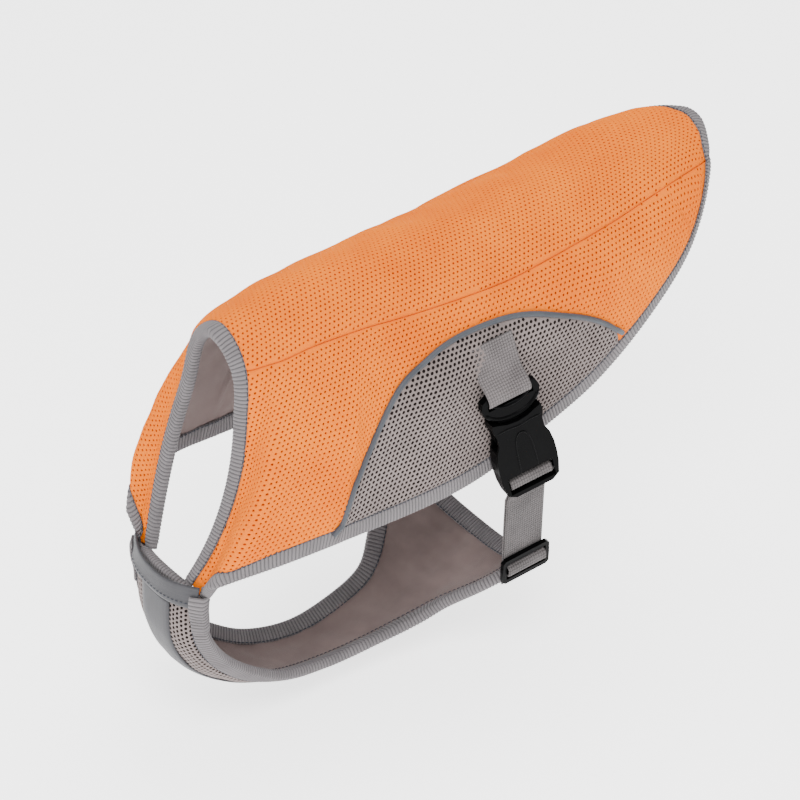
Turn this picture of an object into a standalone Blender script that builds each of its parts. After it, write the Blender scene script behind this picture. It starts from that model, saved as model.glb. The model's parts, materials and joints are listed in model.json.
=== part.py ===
"""Dog cooling vest, size S, filled out as it is worn.

Metres, +Z up, +X from the head to the tail, +Y to the dog's right.
The tables below are in millimetres: x from the neck edge of the back towards
the tail, z from the height of the neck seams.  Every panel, the lining, the
bindings and the webbing are made from one lattice of points on the cut of the
garment, moved in or out along its normals.
"""
import math

import bmesh
import bpy
import numpy as np
from mathutils import Vector
from mathutils.bvhtree import BVHTree

MM = 0.001

# ---------------------------------------------------------------- driving sizes (mm)
REST_X = 150.0            # the origin lies this far behind the neck edge
REST_Z = 18.6             # and at this height, on the lining under the spine
ORIGIN = np.array((REST_X, 0.0, REST_Z))
PANEL = 3.0               # air mesh in the middle of a panel
PANEL_EDGE = 2.0          # air mesh pressed down at a seam or an edge
PUFF_REACH = 9.0          # distance over which a panel swells to its full thickness
LINING = 1.2              # knit lining
GAP = 0.3                 # space between pieces that lie on each other
SEAM = 0.4                # space between the panels at a seam
TAPE = 1.1                # ribbed binding tape
NECK_TAPE = 7.0           # what shows of the neck tape on each face
HEM_TAPE = 9.5            # and of the hem tape
LIMB_TAPE = 5.5           # at the ends of the limbs, growing from there
CHEST_TAPE = 9.0          # and of the tapes on the chest piece
FRONT_NARROWER = 2.5      # less of it shows at the chest top
TAPE_ROLL = 1.9           # how far the rolled edge stands beyond the cut edge
TAPE_FOLD = 1.25          # how far its inside stands beyond it
SETTLE = 0.25             # extra room where the tape crosses the bends of the cloth

# ---------------------------------------------------------------- the back and the sides
# One row for each section, from the neck edge to the tail end.
SECTION_COLUMNS = ("x_spine", "spine_z", "x_seam", "seam_y", "seam_z",
                   "shoulder_y", "shoulder_z", "wall_y", "wall_z",
                   "x_hem", "hem_y", "hem_z")
SECTIONS = (
    (-7, 12.0, -4, 16, -2, 22, -30, 26, -62, -37, 17.5, -120.5),
    (1, 13.0, 0, 22, -1, 28.5, -34, 31, -66, -37, 23.5, -122.5),
    (9, 14.0, 8, 25.5, 0.5, 34.5, -34, 37.5, -68, -36, 29.5, -124.5),
    (18, 15.5, 18, 28, 1.5, 43, -31, 50, -68, -34.5, 41.5, -109.5),
    (35, 19.0, 35, 30, 4, 47, -26, 55, -66, -6, 56, -99),
    (62, 21.0, 62, 33, 5, 51, -22, 58, -62, 40, 58, -99),
    (90, 21.0, 90, 36, 4, 54, -20, 59, -60, 84, 60, -98),
    (120, 20.0, 120, 39, 4, 56, -18, 59, -54, 120, 59, -95),
    (152, 20.0, 152, 40, 4, 56, -14, 58.5, -46, 157, 57, -84),
    (188, 21.0, 186, 40, 8, 55, -8, 58, -34, 200, 56, -66),
    (226, 23.0, 222, 38, 12, 51, 1, 55, -16, 241, 52, -38),
    (268, 27.0, 258, 36, 19, 44, 10, 46, -1, 272, 43, -13),
    (307, 30.0, 293, 29, 20, 29, 20, 29, 20, 293, 29, 20),
)
# Lattice columns: two to a section on the narrow front, then three to a section.
COLUMN_PLACES = (0, 0.5, 1, 1.5, 2, 2.5) + tuple(3 + k / 3 for k in range(28))
BACK_ROWS = 3             # lattice rows from the spine to the seam
SIDE_ROWS = 5             # from the seam to the piping
FLANK_ROWS = 3            # from the piping to the hem
FLANK_FIRST = 11          # lattice column where the piping leaves the front hem
FLANK_LAST = 25           # lattice column where it comes back to the rear hem

# Height of the piping between those two columns.
PIPING_COLUMNS = ("x", "z")
PIPING = ((28, -90), (45, -55), (65, -27), (90, -14), (130, -8), (165, -13), (200, -31),
          (215, -45))


def table(columns, rows):
    """The rows of a table as one array for each named column."""
    return {name: np.array([row[k] for row in rows], float) for k, name in enumerate(columns)}


def smooth(knots, values, at):
    """A smooth curve through the values, one for each knot, read at the given places."""
    knots = np.asarray(knots, float)
    values = np.asarray(values, float)
    at = np.clip(np.atleast_1d(np.asarray(at, float)), knots[0], knots[-1])
    steps = np.diff(knots)
    if values.ndim == 2:
        steps = steps[:, None]
    slopes = np.diff(values, axis=0) / steps
    inner = (slopes[:-1] * steps[1:] + slopes[1:] * steps[:-1]) / (steps[:-1] + steps[1:])
    first = 2 * slopes[:1] - inner[:1]
    last = 2 * slopes[-1:] - inner[-1:]
    tangents = np.concatenate((first, inner, last))
    cell = np.clip(np.searchsorted(knots, at, side="right") - 1, 0, len(knots) - 2)
    span = np.diff(knots)[cell]
    t = (at - knots[cell]) / span
    if values.ndim == 2:
        t = t[:, None]
        span = span[:, None]
    start = (1 + 2 * t) * (1 - t) ** 2 * values[cell] + t * (1 - t) ** 2 * span * tangents[cell]
    end = t * t * (3 - 2 * t) * values[cell + 1] + t * t * (t - 1) * span * tangents[cell + 1]
    return start + end


def lengths(points):
    """Distance along a line of points, from its start."""
    return np.concatenate(([0.0], np.cumsum(np.linalg.norm(np.diff(points, axis=0), axis=1))))


def along(points, distance):
    """The points at the given distances along a line of points."""
    run = lengths(points)
    return np.stack([np.interp(distance, run, points[:, k]) for k in range(3)], axis=-1)


def unit(vectors):
    """Vectors brought to length one."""
    size = np.linalg.norm(vectors, axis=-1, keepdims=True)
    return vectors / np.maximum(size, 1e-9)


def section_lines(u):
    """One section of the shell: its line from the spine to the seam, and on to the hem."""
    t = table(SECTION_COLUMNS, SECTIONS)
    at = np.arange(len(SECTIONS))

    def read(name):
        return float(smooth(at, t[name], u)[0])

    spine = (read("x_spine"), 0.0, read("spine_z"))
    seam = (read("x_seam"), read("seam_y"), read("seam_z"))
    hem = (read("x_hem"), read("hem_y"), read("hem_z"))
    drop = max(seam[2] - hem[2], 0.01)
    inner = []
    for part in ("shoulder", "wall"):
        z = read(part + "_z")
        share = ((seam[2] - z) / drop) ** (1 + 0.2 * max(0.0, 3 - u))
        inner.append((seam[0] + (hem[0] - seam[0]) * share, read(part + "_y"), z))
    mirrored = (seam[0], -seam[1], seam[2])
    points = np.array([mirrored, spine, seam, *inner, hem])
    knots = np.concatenate(([0.0], np.cumsum(np.maximum(
        np.linalg.norm(np.diff(points, axis=0), axis=1), 0.01))))
    back = smooth(knots, points, np.linspace(knots[1], knots[2], 25))
    side = smooth(knots, points, np.linspace(knots[2], knots[5], 97))
    return back, side


def shell_lattice():
    """The lattice of the whole shell: columns from neck to tail, rows from left to right hem."""
    piping = table(PIPING_COLUMNS, PIPING)
    last = len(COLUMN_PLACES) - 1
    half = []
    for i, place in enumerate(COLUMN_PLACES):
        back, side = section_lines(place)
        back_run = lengths(back)[-1]
        side_run = lengths(side)[-1]
        seam_row = side_run - HEM_TAPE
        if i == last:
            seam_row = side_run / 2
        if FLANK_FIRST < i < FLANK_LAST:
            height = smooth(piping["x"], piping["z"], side[:, 0])
            above = np.argmax(side[:, 2] <= height)
            seam_row = min(lengths(side)[above], side_run - HEM_TAPE)
        upper = np.linspace(0, seam_row, SIDE_ROWS + 1)[1:]
        lower = np.linspace(seam_row, side_run, FLANK_ROWS + 1)[1:]
        rows = np.concatenate((along(back, np.linspace(0, back_run, BACK_ROWS + 1)),
                               along(side, np.concatenate((upper, lower)))))
        half.append(rows)
    half = np.array(half)
    left = half[:, :0:-1] * (1, -1, 1)
    return np.concatenate((left, half), axis=1)


def cell_triangles(i, j, middle):
    """The two triangles of a lattice cell, mirrored on either side of the middle row."""
    a, b, c, d = (i, j), (i + 1, j), (i + 1, j + 1), (i, j + 1)
    if j < middle:
        return (a, b, c), (a, c, d)
    return (a, b, d), (b, c, d)


def lattice_normals(points):
    """Outward normals of a lattice, shared where several of its points meet."""
    columns, rows = points.shape[:2]
    total = {}
    for i in range(columns - 1):
        for j in range(rows - 1):
            for corners in cell_triangles(i, j, rows // 2):
                p, q, r = (points[k] for k in corners)
                face = np.cross(q - p, r - p)
                for k in corners:
                    key = tuple(np.round(points[k], 3))
                    total[key] = total.get(key, 0) + face
    sums = [[total[tuple(np.round(points[i, j], 3))] for j in range(rows)]
            for i in range(columns)]
    return unit(np.array(sums))


# ---------------------------------------------------------------- the chest and the belly
CHEST_COLUMNS = ("x", "z", "edge_x", "edge_y", "edge_z", "curl")
CHEST = (
    (-43, -120.5, -35.5, 29.5, -127, 2.2),
    (-44.5, -140, -37, 30, -138, 3),
    (-44, -161, -35, 30, -154, 2.8),
    (-35.5, -182, -22, 27, -176, 2.5),
    (-14, -202, -2, 25, -195, 2.5),
    (18, -216, 20, 22, -209, 2.5),
    (48, -221, 48, 20, -215, 2.5),
    (76, -220, 76, 22, -213, 2.5),
    (103, -214, 102, 27, -207, 2.5),
    (120, -207, 116, 36, -195, 2.8),
    (134, -199, 131, 50, -181, 3.0),
    (148, -190, 147, 55, -175, 3.2),
    (163, -182, 162, 53, -174, 3.0),
)
CHEST_ROWS = 4            # lattice rows from the middle to the edge
CHEST_STEPS = 20          # lattice cells from the chest top to the belly's rear edge


def chest_lattice():
    """The lattice of the chest piece: columns from the chest top to the belly's rear edge."""
    t = table(CHEST_COLUMNS, CHEST)
    at = np.arange(len(CHEST))
    places = np.linspace(0, len(CHEST) - 1, CHEST_STEPS + 1)
    line = {name: smooth(at, t[name], places) for name in CHEST_COLUMNS}
    share = np.linspace(1, -1, 2 * CHEST_ROWS + 1)
    rise = np.abs(share)[None, :] ** line["curl"][:, None]
    x = line["x"][:, None] + (line["edge_x"] - line["x"])[:, None] * rise
    y = line["edge_y"][:, None] * share[None, :]
    z = line["z"][:, None] + (line["edge_z"] - line["z"])[:, None] * rise
    return np.stack((x, y, z), axis=-1)


# ---------------------------------------------------------------- solids
def clear_scene():
    """An empty scene to build in."""
    for item in list(bpy.data.objects):
        bpy.data.objects.remove(item, do_unlink=True)


def finish(name, colour, roughness, metallic=0.0):
    """A plain material of one colour."""
    material = bpy.data.materials.get(name)
    if material is None:
        material = bpy.data.materials.new(name)
        material.use_nodes = True
        shader = material.node_tree.nodes["Principled BSDF"]
        shader.inputs["Base Color"].default_value = (*colour, 1.0)
        shader.inputs["Roughness"].default_value = roughness
        shader.inputs["Metallic"].default_value = metallic
    return material


def add_object(name, vertices, faces, material):
    """One named object from points in millimetres in the frame of the tables."""
    mesh = bpy.data.meshes.new(name)
    points = (np.asarray(vertices, float) - ORIGIN) * MM
    mesh.from_pydata(points.tolist(), [], [list(f) for f in faces])
    mesh.validate()
    mesh.materials.append(material)
    part = bpy.data.objects.new(name, mesh)
    bpy.context.scene.collection.objects.link(part)
    mesh.shade_smooth()
    mesh.set_sharp_from_angle(angle=math.radians(50))
    return part


def swell(distance):
    """Share of the full thickness at a distance from the nearest seam."""
    share = np.clip(distance / PUFF_REACH, 0, 1)
    return share * share * (3 - 2 * share)


class Cloth:
    """A piece of cloth over some cells of a lattice: its skins, its wall and its object."""

    def __init__(self, cells, points, normals, inner, outer_edge, outer):
        self.middle = points.shape[1] // 2
        keys = {}
        triangles = []
        for i, j in sorted(cells):
            for corners in cell_triangles(i, j, self.middle):
                places = [tuple(np.round(points[k], 3)) for k in corners]
                if len(set(places)) < 3:
                    continue
                for place, corner in zip(places, corners):
                    keys.setdefault(place, (len(keys), corner))
                triangles.append([keys[place][0] for place in places])
        corners = [corner for _, corner in keys.values()]
        base = np.array([points[k] for k in corners])
        normal = np.array([normals[k] for k in corners])
        edges = {(t[k], t[(k + 1) % 3]) for t in triangles for k in range(3)}
        self.rim = [(a, b) for a, b in sorted(edges) if (b, a) not in edges]
        rim_points = sorted({a for edge in self.rim for a in edge})
        ahead = dict(self.rim)
        behind = {b: a for a, b in self.rim}
        centres = {a: [] for a in rim_points}
        for t in triangles:
            for a in t:
                if a in centres:
                    centres[a].append(base[t].mean(axis=0))
        distance = np.array([np.linalg.norm(base[rim_points] - p, axis=1).min() for p in base])
        moved = base.copy()
        for a in rim_points:
            one = unit(base[a] - base[behind[a]])
            two = unit(base[ahead[a]] - base[a])
            inward = unit(np.cross(normal[a], unit(one + two)))
            if np.dot(inward, np.mean(centres[a], axis=0) - base[a]) < 0:
                inward = -inward
            turn = max(0.6, abs(np.dot(unit(one + two), two)))
            moved[a] = base[a] + inward * SEAM / 2 / turn
        base = moved
        height = outer_edge + (outer - outer_edge) * swell(distance)
        self.low = base + normal * inner
        self.high = base + normal * (inner + height[:, None])
        self.triangles = triangles

    def build(self, name, material):
        """The closed solid of this piece of cloth."""
        count = len(self.low)
        faces = [tuple(t) for t in self.triangles]
        faces += [(t[0] + count, t[2] + count, t[1] + count) for t in self.triangles]
        faces += [(b, a, a + count, b + count) for a, b in self.rim]
        return add_object(name, np.concatenate((self.high, self.low)), faces, material)


def skin(pieces, side):
    """One surface of several pieces of cloth together, to lay other pieces on."""
    vertices = []
    triangles = []
    for piece in pieces:
        start = len(vertices)
        vertices += (piece.high if side == "high" else piece.low).tolist()
        triangles += [[k + start for k in t] for t in piece.triangles]
    return BVHTree.FromPolygons(vertices, triangles)


def height_over(tree, point, normal, side):
    """Height of a skin over a point of the lattice, along its normal."""
    reach = 9.0
    hit = tree.ray_cast(Vector(point + normal * reach * side), Vector(-normal * side), 2 * reach)
    if hit[0] is None:
        return None
    return float(np.dot(np.array(hit[0]) - point, normal))


def sweep(name, rings, material, turn=None):
    """A solid from rings of equal numbers of points, its ends filled.

    With a turn, the faces are triangles whose slant changes sides at that ring.
    """
    rings = [np.asarray(ring) for ring in rings]
    size = len(rings[0])
    count = len(rings)
    vertices = np.concatenate(rings)
    faces = []
    for k in range(count - 1):
        for a in range(size):
            b = (a + 1) % size
            corners = (k * size + a, (k + 1) * size + a, (k + 1) * size + b, k * size + b)
            if turn is None:
                faces.append(corners)
                continue
            first = 0 if k < turn else 1
            p, q, r, s = corners[first:] + corners[:first]
            faces.append((p, q, r))
            faces.append((p, r, s))
    faces.append(tuple(range(size)))
    faces.append(tuple((count - 1) * size + a for a in reversed(range(size))))
    part = add_object(name, vertices, faces, material)
    outward(part)
    return part


def outward(part):
    """Turns the faces of a closed object outwards."""
    mesh = bmesh.new()
    mesh.from_mesh(part.data)
    bmesh.ops.recalc_face_normals(mesh, faces=mesh.faces)
    if mesh.calc_volume(signed=True) < 0:
        bmesh.ops.reverse_faces(mesh, faces=mesh.faces)
    mesh.to_mesh(part.data)
    mesh.free()


def station(path, normals, distance):
    """A place on a line of the lattice and its normal, at a distance from the edge."""
    run = lengths(path)
    place = np.array([np.interp(distance, run, path[:, k]) for k in range(3)])
    normal = np.array([np.interp(distance, run, normals[:, k]) for k in range(3)])
    return place, unit(normal)


def binding(name, paths, widths, high, low, material, turn=0):
    """Tape folded over an edge of the cloth, with a leg on each face.

    Each path is a line of lattice points with their normals, from the edge inwards.
    """
    rim = np.array([path[0] for path, _ in paths])
    tangents = unit(np.gradient(rim, axis=0))
    slant = math.sqrt(0.5)
    over = GAP / 2 + PANEL_EDGE + GAP
    under = -(GAP / 2 + LINING + GAP)
    shares = (0.0, 0.5, 1.0)
    base = np.zeros((len(paths), 3, 3))
    outs = np.zeros((len(paths), 3, 3))
    above = np.zeros((len(paths), 3))
    below = np.zeros((len(paths), 3))
    folds = []
    for k, ((path, normals), tangent, width) in enumerate(zip(paths, tangents, widths)):
        point, normal = path[0], unit(normals[0])
        ahead = unit(path[1] - point)
        square = math.sqrt(max(0.2, 1 - np.dot(ahead, tangent) ** 2))
        inward = ahead - normal * np.dot(ahead, normal)
        inward = unit(inward - tangent * np.dot(inward, tangent))
        for s, share in enumerate(shares):
            place, out = station(path, normals, width * share / square)
            base[k, s] = place
            outs[k, s] = out
            for tree, side, rest, lift in ((high, 1, over, above), (low, -1, under, below)):
                found = height_over(tree, place, out, side) if share else None
                lift[k, s] = rest if found is None else found + GAP * side
        folds.append((point, normal, inward))
    settle(base, outs, above, high, 1)
    settle(base, outs, below, low, -1)
    rings = []
    for k, (point, normal, inward) in enumerate(folds):
        top = base[k] + outs[k] * above[k][:, None]
        bottom = base[k] + outs[k] * below[k][:, None]
        ring = [top[2], top[2] + outs[k, 2] * TAPE, point + normal * (above[k, 0] + TAPE)]
        middle = (above[k, 0] + below[k, 0]) / 2
        half = (above[k, 0] - below[k, 0]) / 2 + TAPE
        for d, h in ((slant, slant), (1, 0), (slant, -slant)):
            ring.append(point - inward * TAPE_ROLL * d + normal * (middle + half * h))
        ring += [point + normal * (below[k, 0] - TAPE), bottom[2] - outs[k, 2] * TAPE, bottom[2],
                 bottom[1], point - inward * TAPE_FOLD + normal * below[k, 0],
                 point - inward * TAPE_FOLD + normal * above[k, 0], top[1]]
        rings.append(ring)
    return sweep(name, rings, material, turn)


def settle(base, outs, lift, tree, side):
    """Raises a leg of tape until it clears the cloth between its own points too."""
    shares = (0.15, 0.5, 0.85)
    for _ in range(2):
        surface = base + outs * lift[..., None]
        raised = np.zeros(lift.shape)
        for k in range(lift.shape[0] - 1):
            for s in range(lift.shape[1] - 1):
                fold = surface[k, s] + surface[k + 1, s + 1]
                fold = fold - surface[k, s + 1] - surface[k + 1, s]
                twist = abs(np.dot(fold, outs[k, s])) / 4
                for u in shares:
                    for v in (0.08, 0.3, 0.65, 1.0):
                        weights = ((1 - u) * (1 - v), (1 - u) * v, u * (1 - v), u * v)
                        corners = ((k, s), (k, s + 1), (k + 1, s), (k + 1, s + 1))
                        place = sum(w * surface[c] for w, c in zip(weights, corners))
                        out = unit(sum(w * outs[c] for w, c in zip(weights, corners)))
                        found = height_over(tree, place, out, side)
                        if found is None:
                            continue
                        short = found * side + GAP + SETTLE + min(twist, 1.2)
                        for c in corners:
                            raised[c] = max(raised[c], short)
        lift += side * raised


def lattice_path(points, normals, start, step):
    """Lattice points and normals from an edge point inwards, seven at most."""
    path = []
    out = []
    i, j = start
    for _ in range(7):
        if not (0 <= i < points.shape[0] and 0 <= j < points.shape[1]):
            break
        if not path or np.linalg.norm(points[i, j] - path[-1]) > 0.01:
            path.append(points[i, j])
            out.append(normals[i, j])
        i += step[0]
        j += step[1]
    return np.array(path), np.array(out)


def half_way(paths, others, width):
    """Tape widths that stop half way to another edge where the cloth is narrow."""
    rim = np.array([path[0] for path, _ in others])
    dense = along(rim, np.linspace(0, lengths(rim)[-1], 400))
    widths = []
    for path, _ in paths:
        distance = np.linalg.norm(dense - path[0], axis=1).min()
        widths.append(min(width, distance / 2 - GAP))
    return widths


def tube(name, route, radius, sides, material):
    """A round cord along a line of points."""
    tangents = unit(np.gradient(route, axis=0))
    rings = []
    for point, tangent in zip(route, tangents):
        across = unit(np.cross(tangent, (0.0, 0.0, 1.0)))
        up = np.cross(across, tangent)
        turn = [2 * math.pi * k / sides for k in range(sides)]
        rings.append([point + radius * (math.cos(a) * across + math.sin(a) * up) for a in turn])
    return sweep(name, rings, material)


def ribbon(name, rows, thickness, material):
    """A flat strip from rows of points; it thickens along the given outward vectors."""
    rings = []
    for points, outwards in rows:
        outer = points + outwards * thickness
        rings.append(np.concatenate((points, outer[::-1])))
    return sweep(name, rings, material)


def trimmed(route, start, end):
    """A line of points with the given lengths taken off its ends."""
    total = lengths(route)[-1]
    count = len(route)
    return along(route, np.linspace(start, total - end, count))


# ---------------------------------------------------------------- webbing and hardware
WEBBING = 25.0            # width of the webbing
WEBBING_THICK = 1.3
PIPING_RADIUS = 1.5
BAND_THICK = 1.2
BAND_TOP = -120.5         # height of the band's top edge in the middle
BAND_END_RISE = 1.2       # and this much more at its ends
BAND_HEIGHT = 13.0
STRIP_WIDTH = 24.0
STRIP_THICK = 1.0
STRIP_FIRST = 2           # lattice columns between which the strip lies
STRIP_LAST = 10

# Places on the dog's left side, in the frame of the tables.
STRAP_TOP = np.array((126.0, -57.0, -11.0))       # where the webbing leaves the piping
MALE_TOP = np.array((129.0, -70.0, -41.0))        # the middle of the male half's top bar
FEMALE_BAR = np.array((140.5, -74.5, -95.5))      # the middle of the female half's bar
SLIDER = np.array((146.5, -65.5, -162.6))         # the middle of the slider
BUCKLE_YAW = 10.0         # the buckle's rear side turns this far outward, in degrees
BUCKLE_LENGTH = float(np.linalg.norm(FEMALE_BAR - MALE_TOP))
STRAP_LENGTH = float(np.linalg.norm(SLIDER - FEMALE_BAR))


def strap_frame(start, end, yaw=0.0):
    """Across, along and outward directions of a strap on the left side."""
    down = unit(end - start)
    across = unit(np.array((1.0, 0.0, 0.0)) - down * down[0])
    out = np.cross(across, down)
    if out[1] > 0:
        out = -out
    angle = math.radians(yaw)
    turned = across * math.cos(angle) + out * math.sin(angle)
    out = out * math.cos(angle) - across * math.sin(angle)
    return turned, down, out


def placed(origin, frame, across, down, out):
    """A point given across, along and outward in a strap's frame."""
    return origin + frame[0] * across + frame[1] * down + frame[2] * out


def mirror(part, name):
    """The same piece on the other side of the middle."""
    mesh = part.data.copy()
    for vertex in mesh.vertices:
        vertex.co.y = -vertex.co.y
    mesh.flip_normals()
    twin = bpy.data.objects.new(name, mesh)
    bpy.context.scene.collection.objects.link(twin)
    return twin


def extruded(name, outline, thickness, material, origin, frame):
    """A plate from its outline, across and along, centred on the strap's plane."""
    half = thickness / 2
    front = [placed(origin, frame, a, d, half) for a, d in outline]
    rear = [placed(origin, frame, a, d, -half) for a, d in outline]
    return sweep(name, [front, rear], material)


def combine(part, outline, depth, offset, origin, frame, operation="DIFFERENCE"):
    """Cuts a straight opening through a plate, or adds a block to it."""
    front = [placed(origin, frame, a, d, offset + depth / 2) for a, d in outline]
    rear = [placed(origin, frame, a, d, offset - depth / 2) for a, d in outline]
    tool = sweep(part.name + "_tool", [front, rear], part.data.materials[0])
    modifier = part.modifiers.new("change", "BOOLEAN")
    modifier.operation = operation
    modifier.object = tool
    evaluated = part.evaluated_get(bpy.context.evaluated_depsgraph_get())
    mesh = bpy.data.meshes.new_from_object(evaluated)
    part.modifiers.clear()
    part.data = mesh
    bpy.data.objects.remove(tool, do_unlink=True)


def box_outline(left, right, top, bottom):
    """A rectangle across and along."""
    return ((left, top), (right, top), (right, bottom), (left, bottom))


def both_sides(right_half):
    """A closed outline from its right half, listed from top to bottom."""
    return tuple(right_half) + tuple((-a, d) for a, d in reversed(right_half) if a > 0.01)


def arc(centre_a, centre_d, radius_a, radius_d, start, end, steps):
    """Points on an ellipse between two angles, in degrees."""
    angles = [math.radians(start + (end - start) * k / steps) for k in range(steps + 1)]
    return [(centre_a + radius_a * math.cos(t), centre_d + radius_d * math.sin(t))
            for t in angles]


def build_buckle(material):
    """Both halves of the side-release buckle on the left side."""
    frame = strap_frame(MALE_TOP, FEMALE_BAR, BUCKLE_YAW)
    male_outline = both_sides(
        [(13.0, -3.2), (16.0, -1.6), (17.2, 2.0), (16.6, 6.5)]
        + arc(0, 5.5, 16.0, 8.0, 15, 45, 2)
        + [(9.8, 12.5), (9.8, 17.0), (12.6, 19.0), (14.6, 23.5), (12.8, 27.5),
           (10.2, 28.5), (8.6, 25.0), (6.6, 17.0), (2.2, 16.0), (1.8, 30.0)])
    male = extruded("buckle_male_left", male_outline, 4.4, material, MALE_TOP, frame)
    combine(male, box_outline(-13.4, 13.4, 0.8, 4.6), 12, 0, MALE_TOP, frame)
    female_outline = both_sides(
        [(0.0, 16.6), (6.0, 15.8), (11.0, 13.8), (14.6, 12.6), (15.0, 16.6), (13.6, 22.0),
         (13.6, 27.0), (15.8, 32.0), (17.0, 39.0), (17.2, 46.0), (16.8, 53.0),
         (15.4, 60.5), (11.0, 63.4)])
    female = extruded("buckle_female_left", female_outline, 9.0, material, MALE_TOP, frame)
    combine(female, box_outline(-10.8, 10.8, 5.0, 36.0), 5.4, 0, MALE_TOP, frame)
    for side in (-1, 1):
        ends = sorted((side * 8.0, side * 20.0))
        window = box_outline(ends[0], ends[1], 16.9, 31.0)
        combine(female, window, 5.8, 0, MALE_TOP, frame)
    bar = BUCKLE_LENGTH
    opening = box_outline(-13.5, 13.5, bar - 6.0, bar + 5.0)
    combine(female, opening, 20, 0, MALE_TOP, frame)
    behind = box_outline(-13.5, 13.5, bar + 2.0, bar + 12.0)
    combine(female, behind, 6.0, -3.3, MALE_TOP, frame)
    rod = box_outline(-15.0, 15.0, bar - 1.4, bar + 1.4)
    combine(female, rod, 2.8, 1.0, MALE_TOP, frame, "UNION")
    return male, female


def build_slider(material):
    """The slider on the left side: a frame with a bar across its middle."""
    frame = strap_frame(FEMALE_BAR, SLIDER)
    outline = both_sides([(13.6, -8.6), (15.4, -7.0), (15.6, 0.0), (15.4, 7.0), (13.6, 8.6)])
    slider = extruded("slider_left", outline, 2.6, material, SLIDER, frame)
    combine(slider, box_outline(-13.0, 13.0, -5.8, -1.4), 10, 0, SLIDER, frame)
    combine(slider, box_outline(-13.0, 13.0, 1.4, 5.8), 10, 0, SLIDER, frame)
    return slider


def strip_outline(route, thickness):
    """A strip seen from its edge: its route moved half its thickness to both sides."""
    route = np.asarray(route, float)
    tangents = unit(np.gradient(route, axis=0))
    normals = np.stack((-tangents[:, 1], tangents[:, 0]), axis=-1)
    one = route + normals * thickness / 2
    other = route - normals * thickness / 2
    return np.concatenate((one, other[::-1]))


def build_lower_webbing(material):
    """Webbing from the belly corner, round the female bar and back to the slider."""
    frame = strap_frame(FEMALE_BAR, SLIDER)
    end = STRAP_LENGTH
    # (outward, along) from the belly corner up, round the bar and down to the slider
    route = [(-4.1, end + 14.0), (-4.05, end + 8.0), (-4.05, end), (-4.05, end - 11.0),
             (-3.8, end / 2), (-3.3, 13.0), (-3.15, 7.0), (-2.9, 3.5), (-2.1, 0.2),
             (-1.3, -2.3), (1.0, -2.9), (3.2, -2.1), (3.6, -0.8), (3.6, 0.8), (3.1, 2.1),
             (1.9, 2.95), (0.5, 3.3), (-0.7, 4.0), (-1.35, 5.2), (-1.45, 8.0),
             (-2.0, end / 2), (-2.3, end - 9.0), (-2.35, end - 6.0), (-1.9, end - 4.6),
             (-0.2, end - 3.5), (1.2, end - 3.0), (2.4, end - 1.8), (2.45, end),
             (2.4, end + 1.8), (1.2, end + 3.0), (-0.2, end + 3.5), (-1.9, end + 4.6),
             (-2.35, end + 6.0), (-2.3, end + 9.0)]
    outline = [(d, o) for o, d in strip_outline(route, WEBBING_THICK)]
    buckle = strap_frame(MALE_TOP, FEMALE_BAR, BUCKLE_YAW)
    sides = []
    for a in (-WEBBING / 2, WEBBING / 2):
        side = []
        for d, o in outline:
            share = min(max((d - 6.0) / 10.0, 0.0), 1.0)
            side.append(placed(FEMALE_BAR, buckle, a, d, o) * (1 - share)
                        + placed(FEMALE_BAR, frame, a, d, o) * share)
        sides.append(side)
    return sweep("lower_webbing_left", sides, material)


def build_upper_webbing(high, piping_gap, material):
    """Webbing sewn under the piping, down over the flank to the male half."""
    frame = strap_frame(MALE_TOP, FEMALE_BAR, BUCKLE_YAW)
    across = frame[0]
    places = np.linspace(-WEBBING / 2, WEBBING / 2, 5)
    rows = []
    toward = unit(MALE_TOP - STRAP_TOP)
    inwards = np.array((0.0, 1.0, -0.35))
    inwards = unit(inwards)
    for run in np.linspace(piping_gap, 20.0, 6):
        points = []
        for place in places:
            start = STRAP_TOP + toward * run + across * place - inwards * 20.0
            hit = high.ray_cast(Vector(start), Vector(inwards))
            points.append(np.array(hit[0]) - inwards * (GAP + 0.25))
        rows.append((np.array(points), np.tile(-inwards, (5, 1))))
    # (outward, along, turn in degrees) of the inner face, from the flank into the slot
    for o, d, turn in ((1.6, -4.6, 0), (2.7, -2.4, 0), (2.7, 0.4, 40), (1.0, 2.6, 90),
                       (-2.2, 2.9, 90)):
        angle = math.radians(turn)
        direction = frame[2] * math.cos(angle) + frame[1] * math.sin(angle)
        points = np.array([placed(MALE_TOP, frame, place, d, o) for place in places])
        rows.append((points, np.tile(direction, (5, 1))))
    return ribbon("upper_webbing_left", rows, WEBBING_THICK, material)


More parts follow.
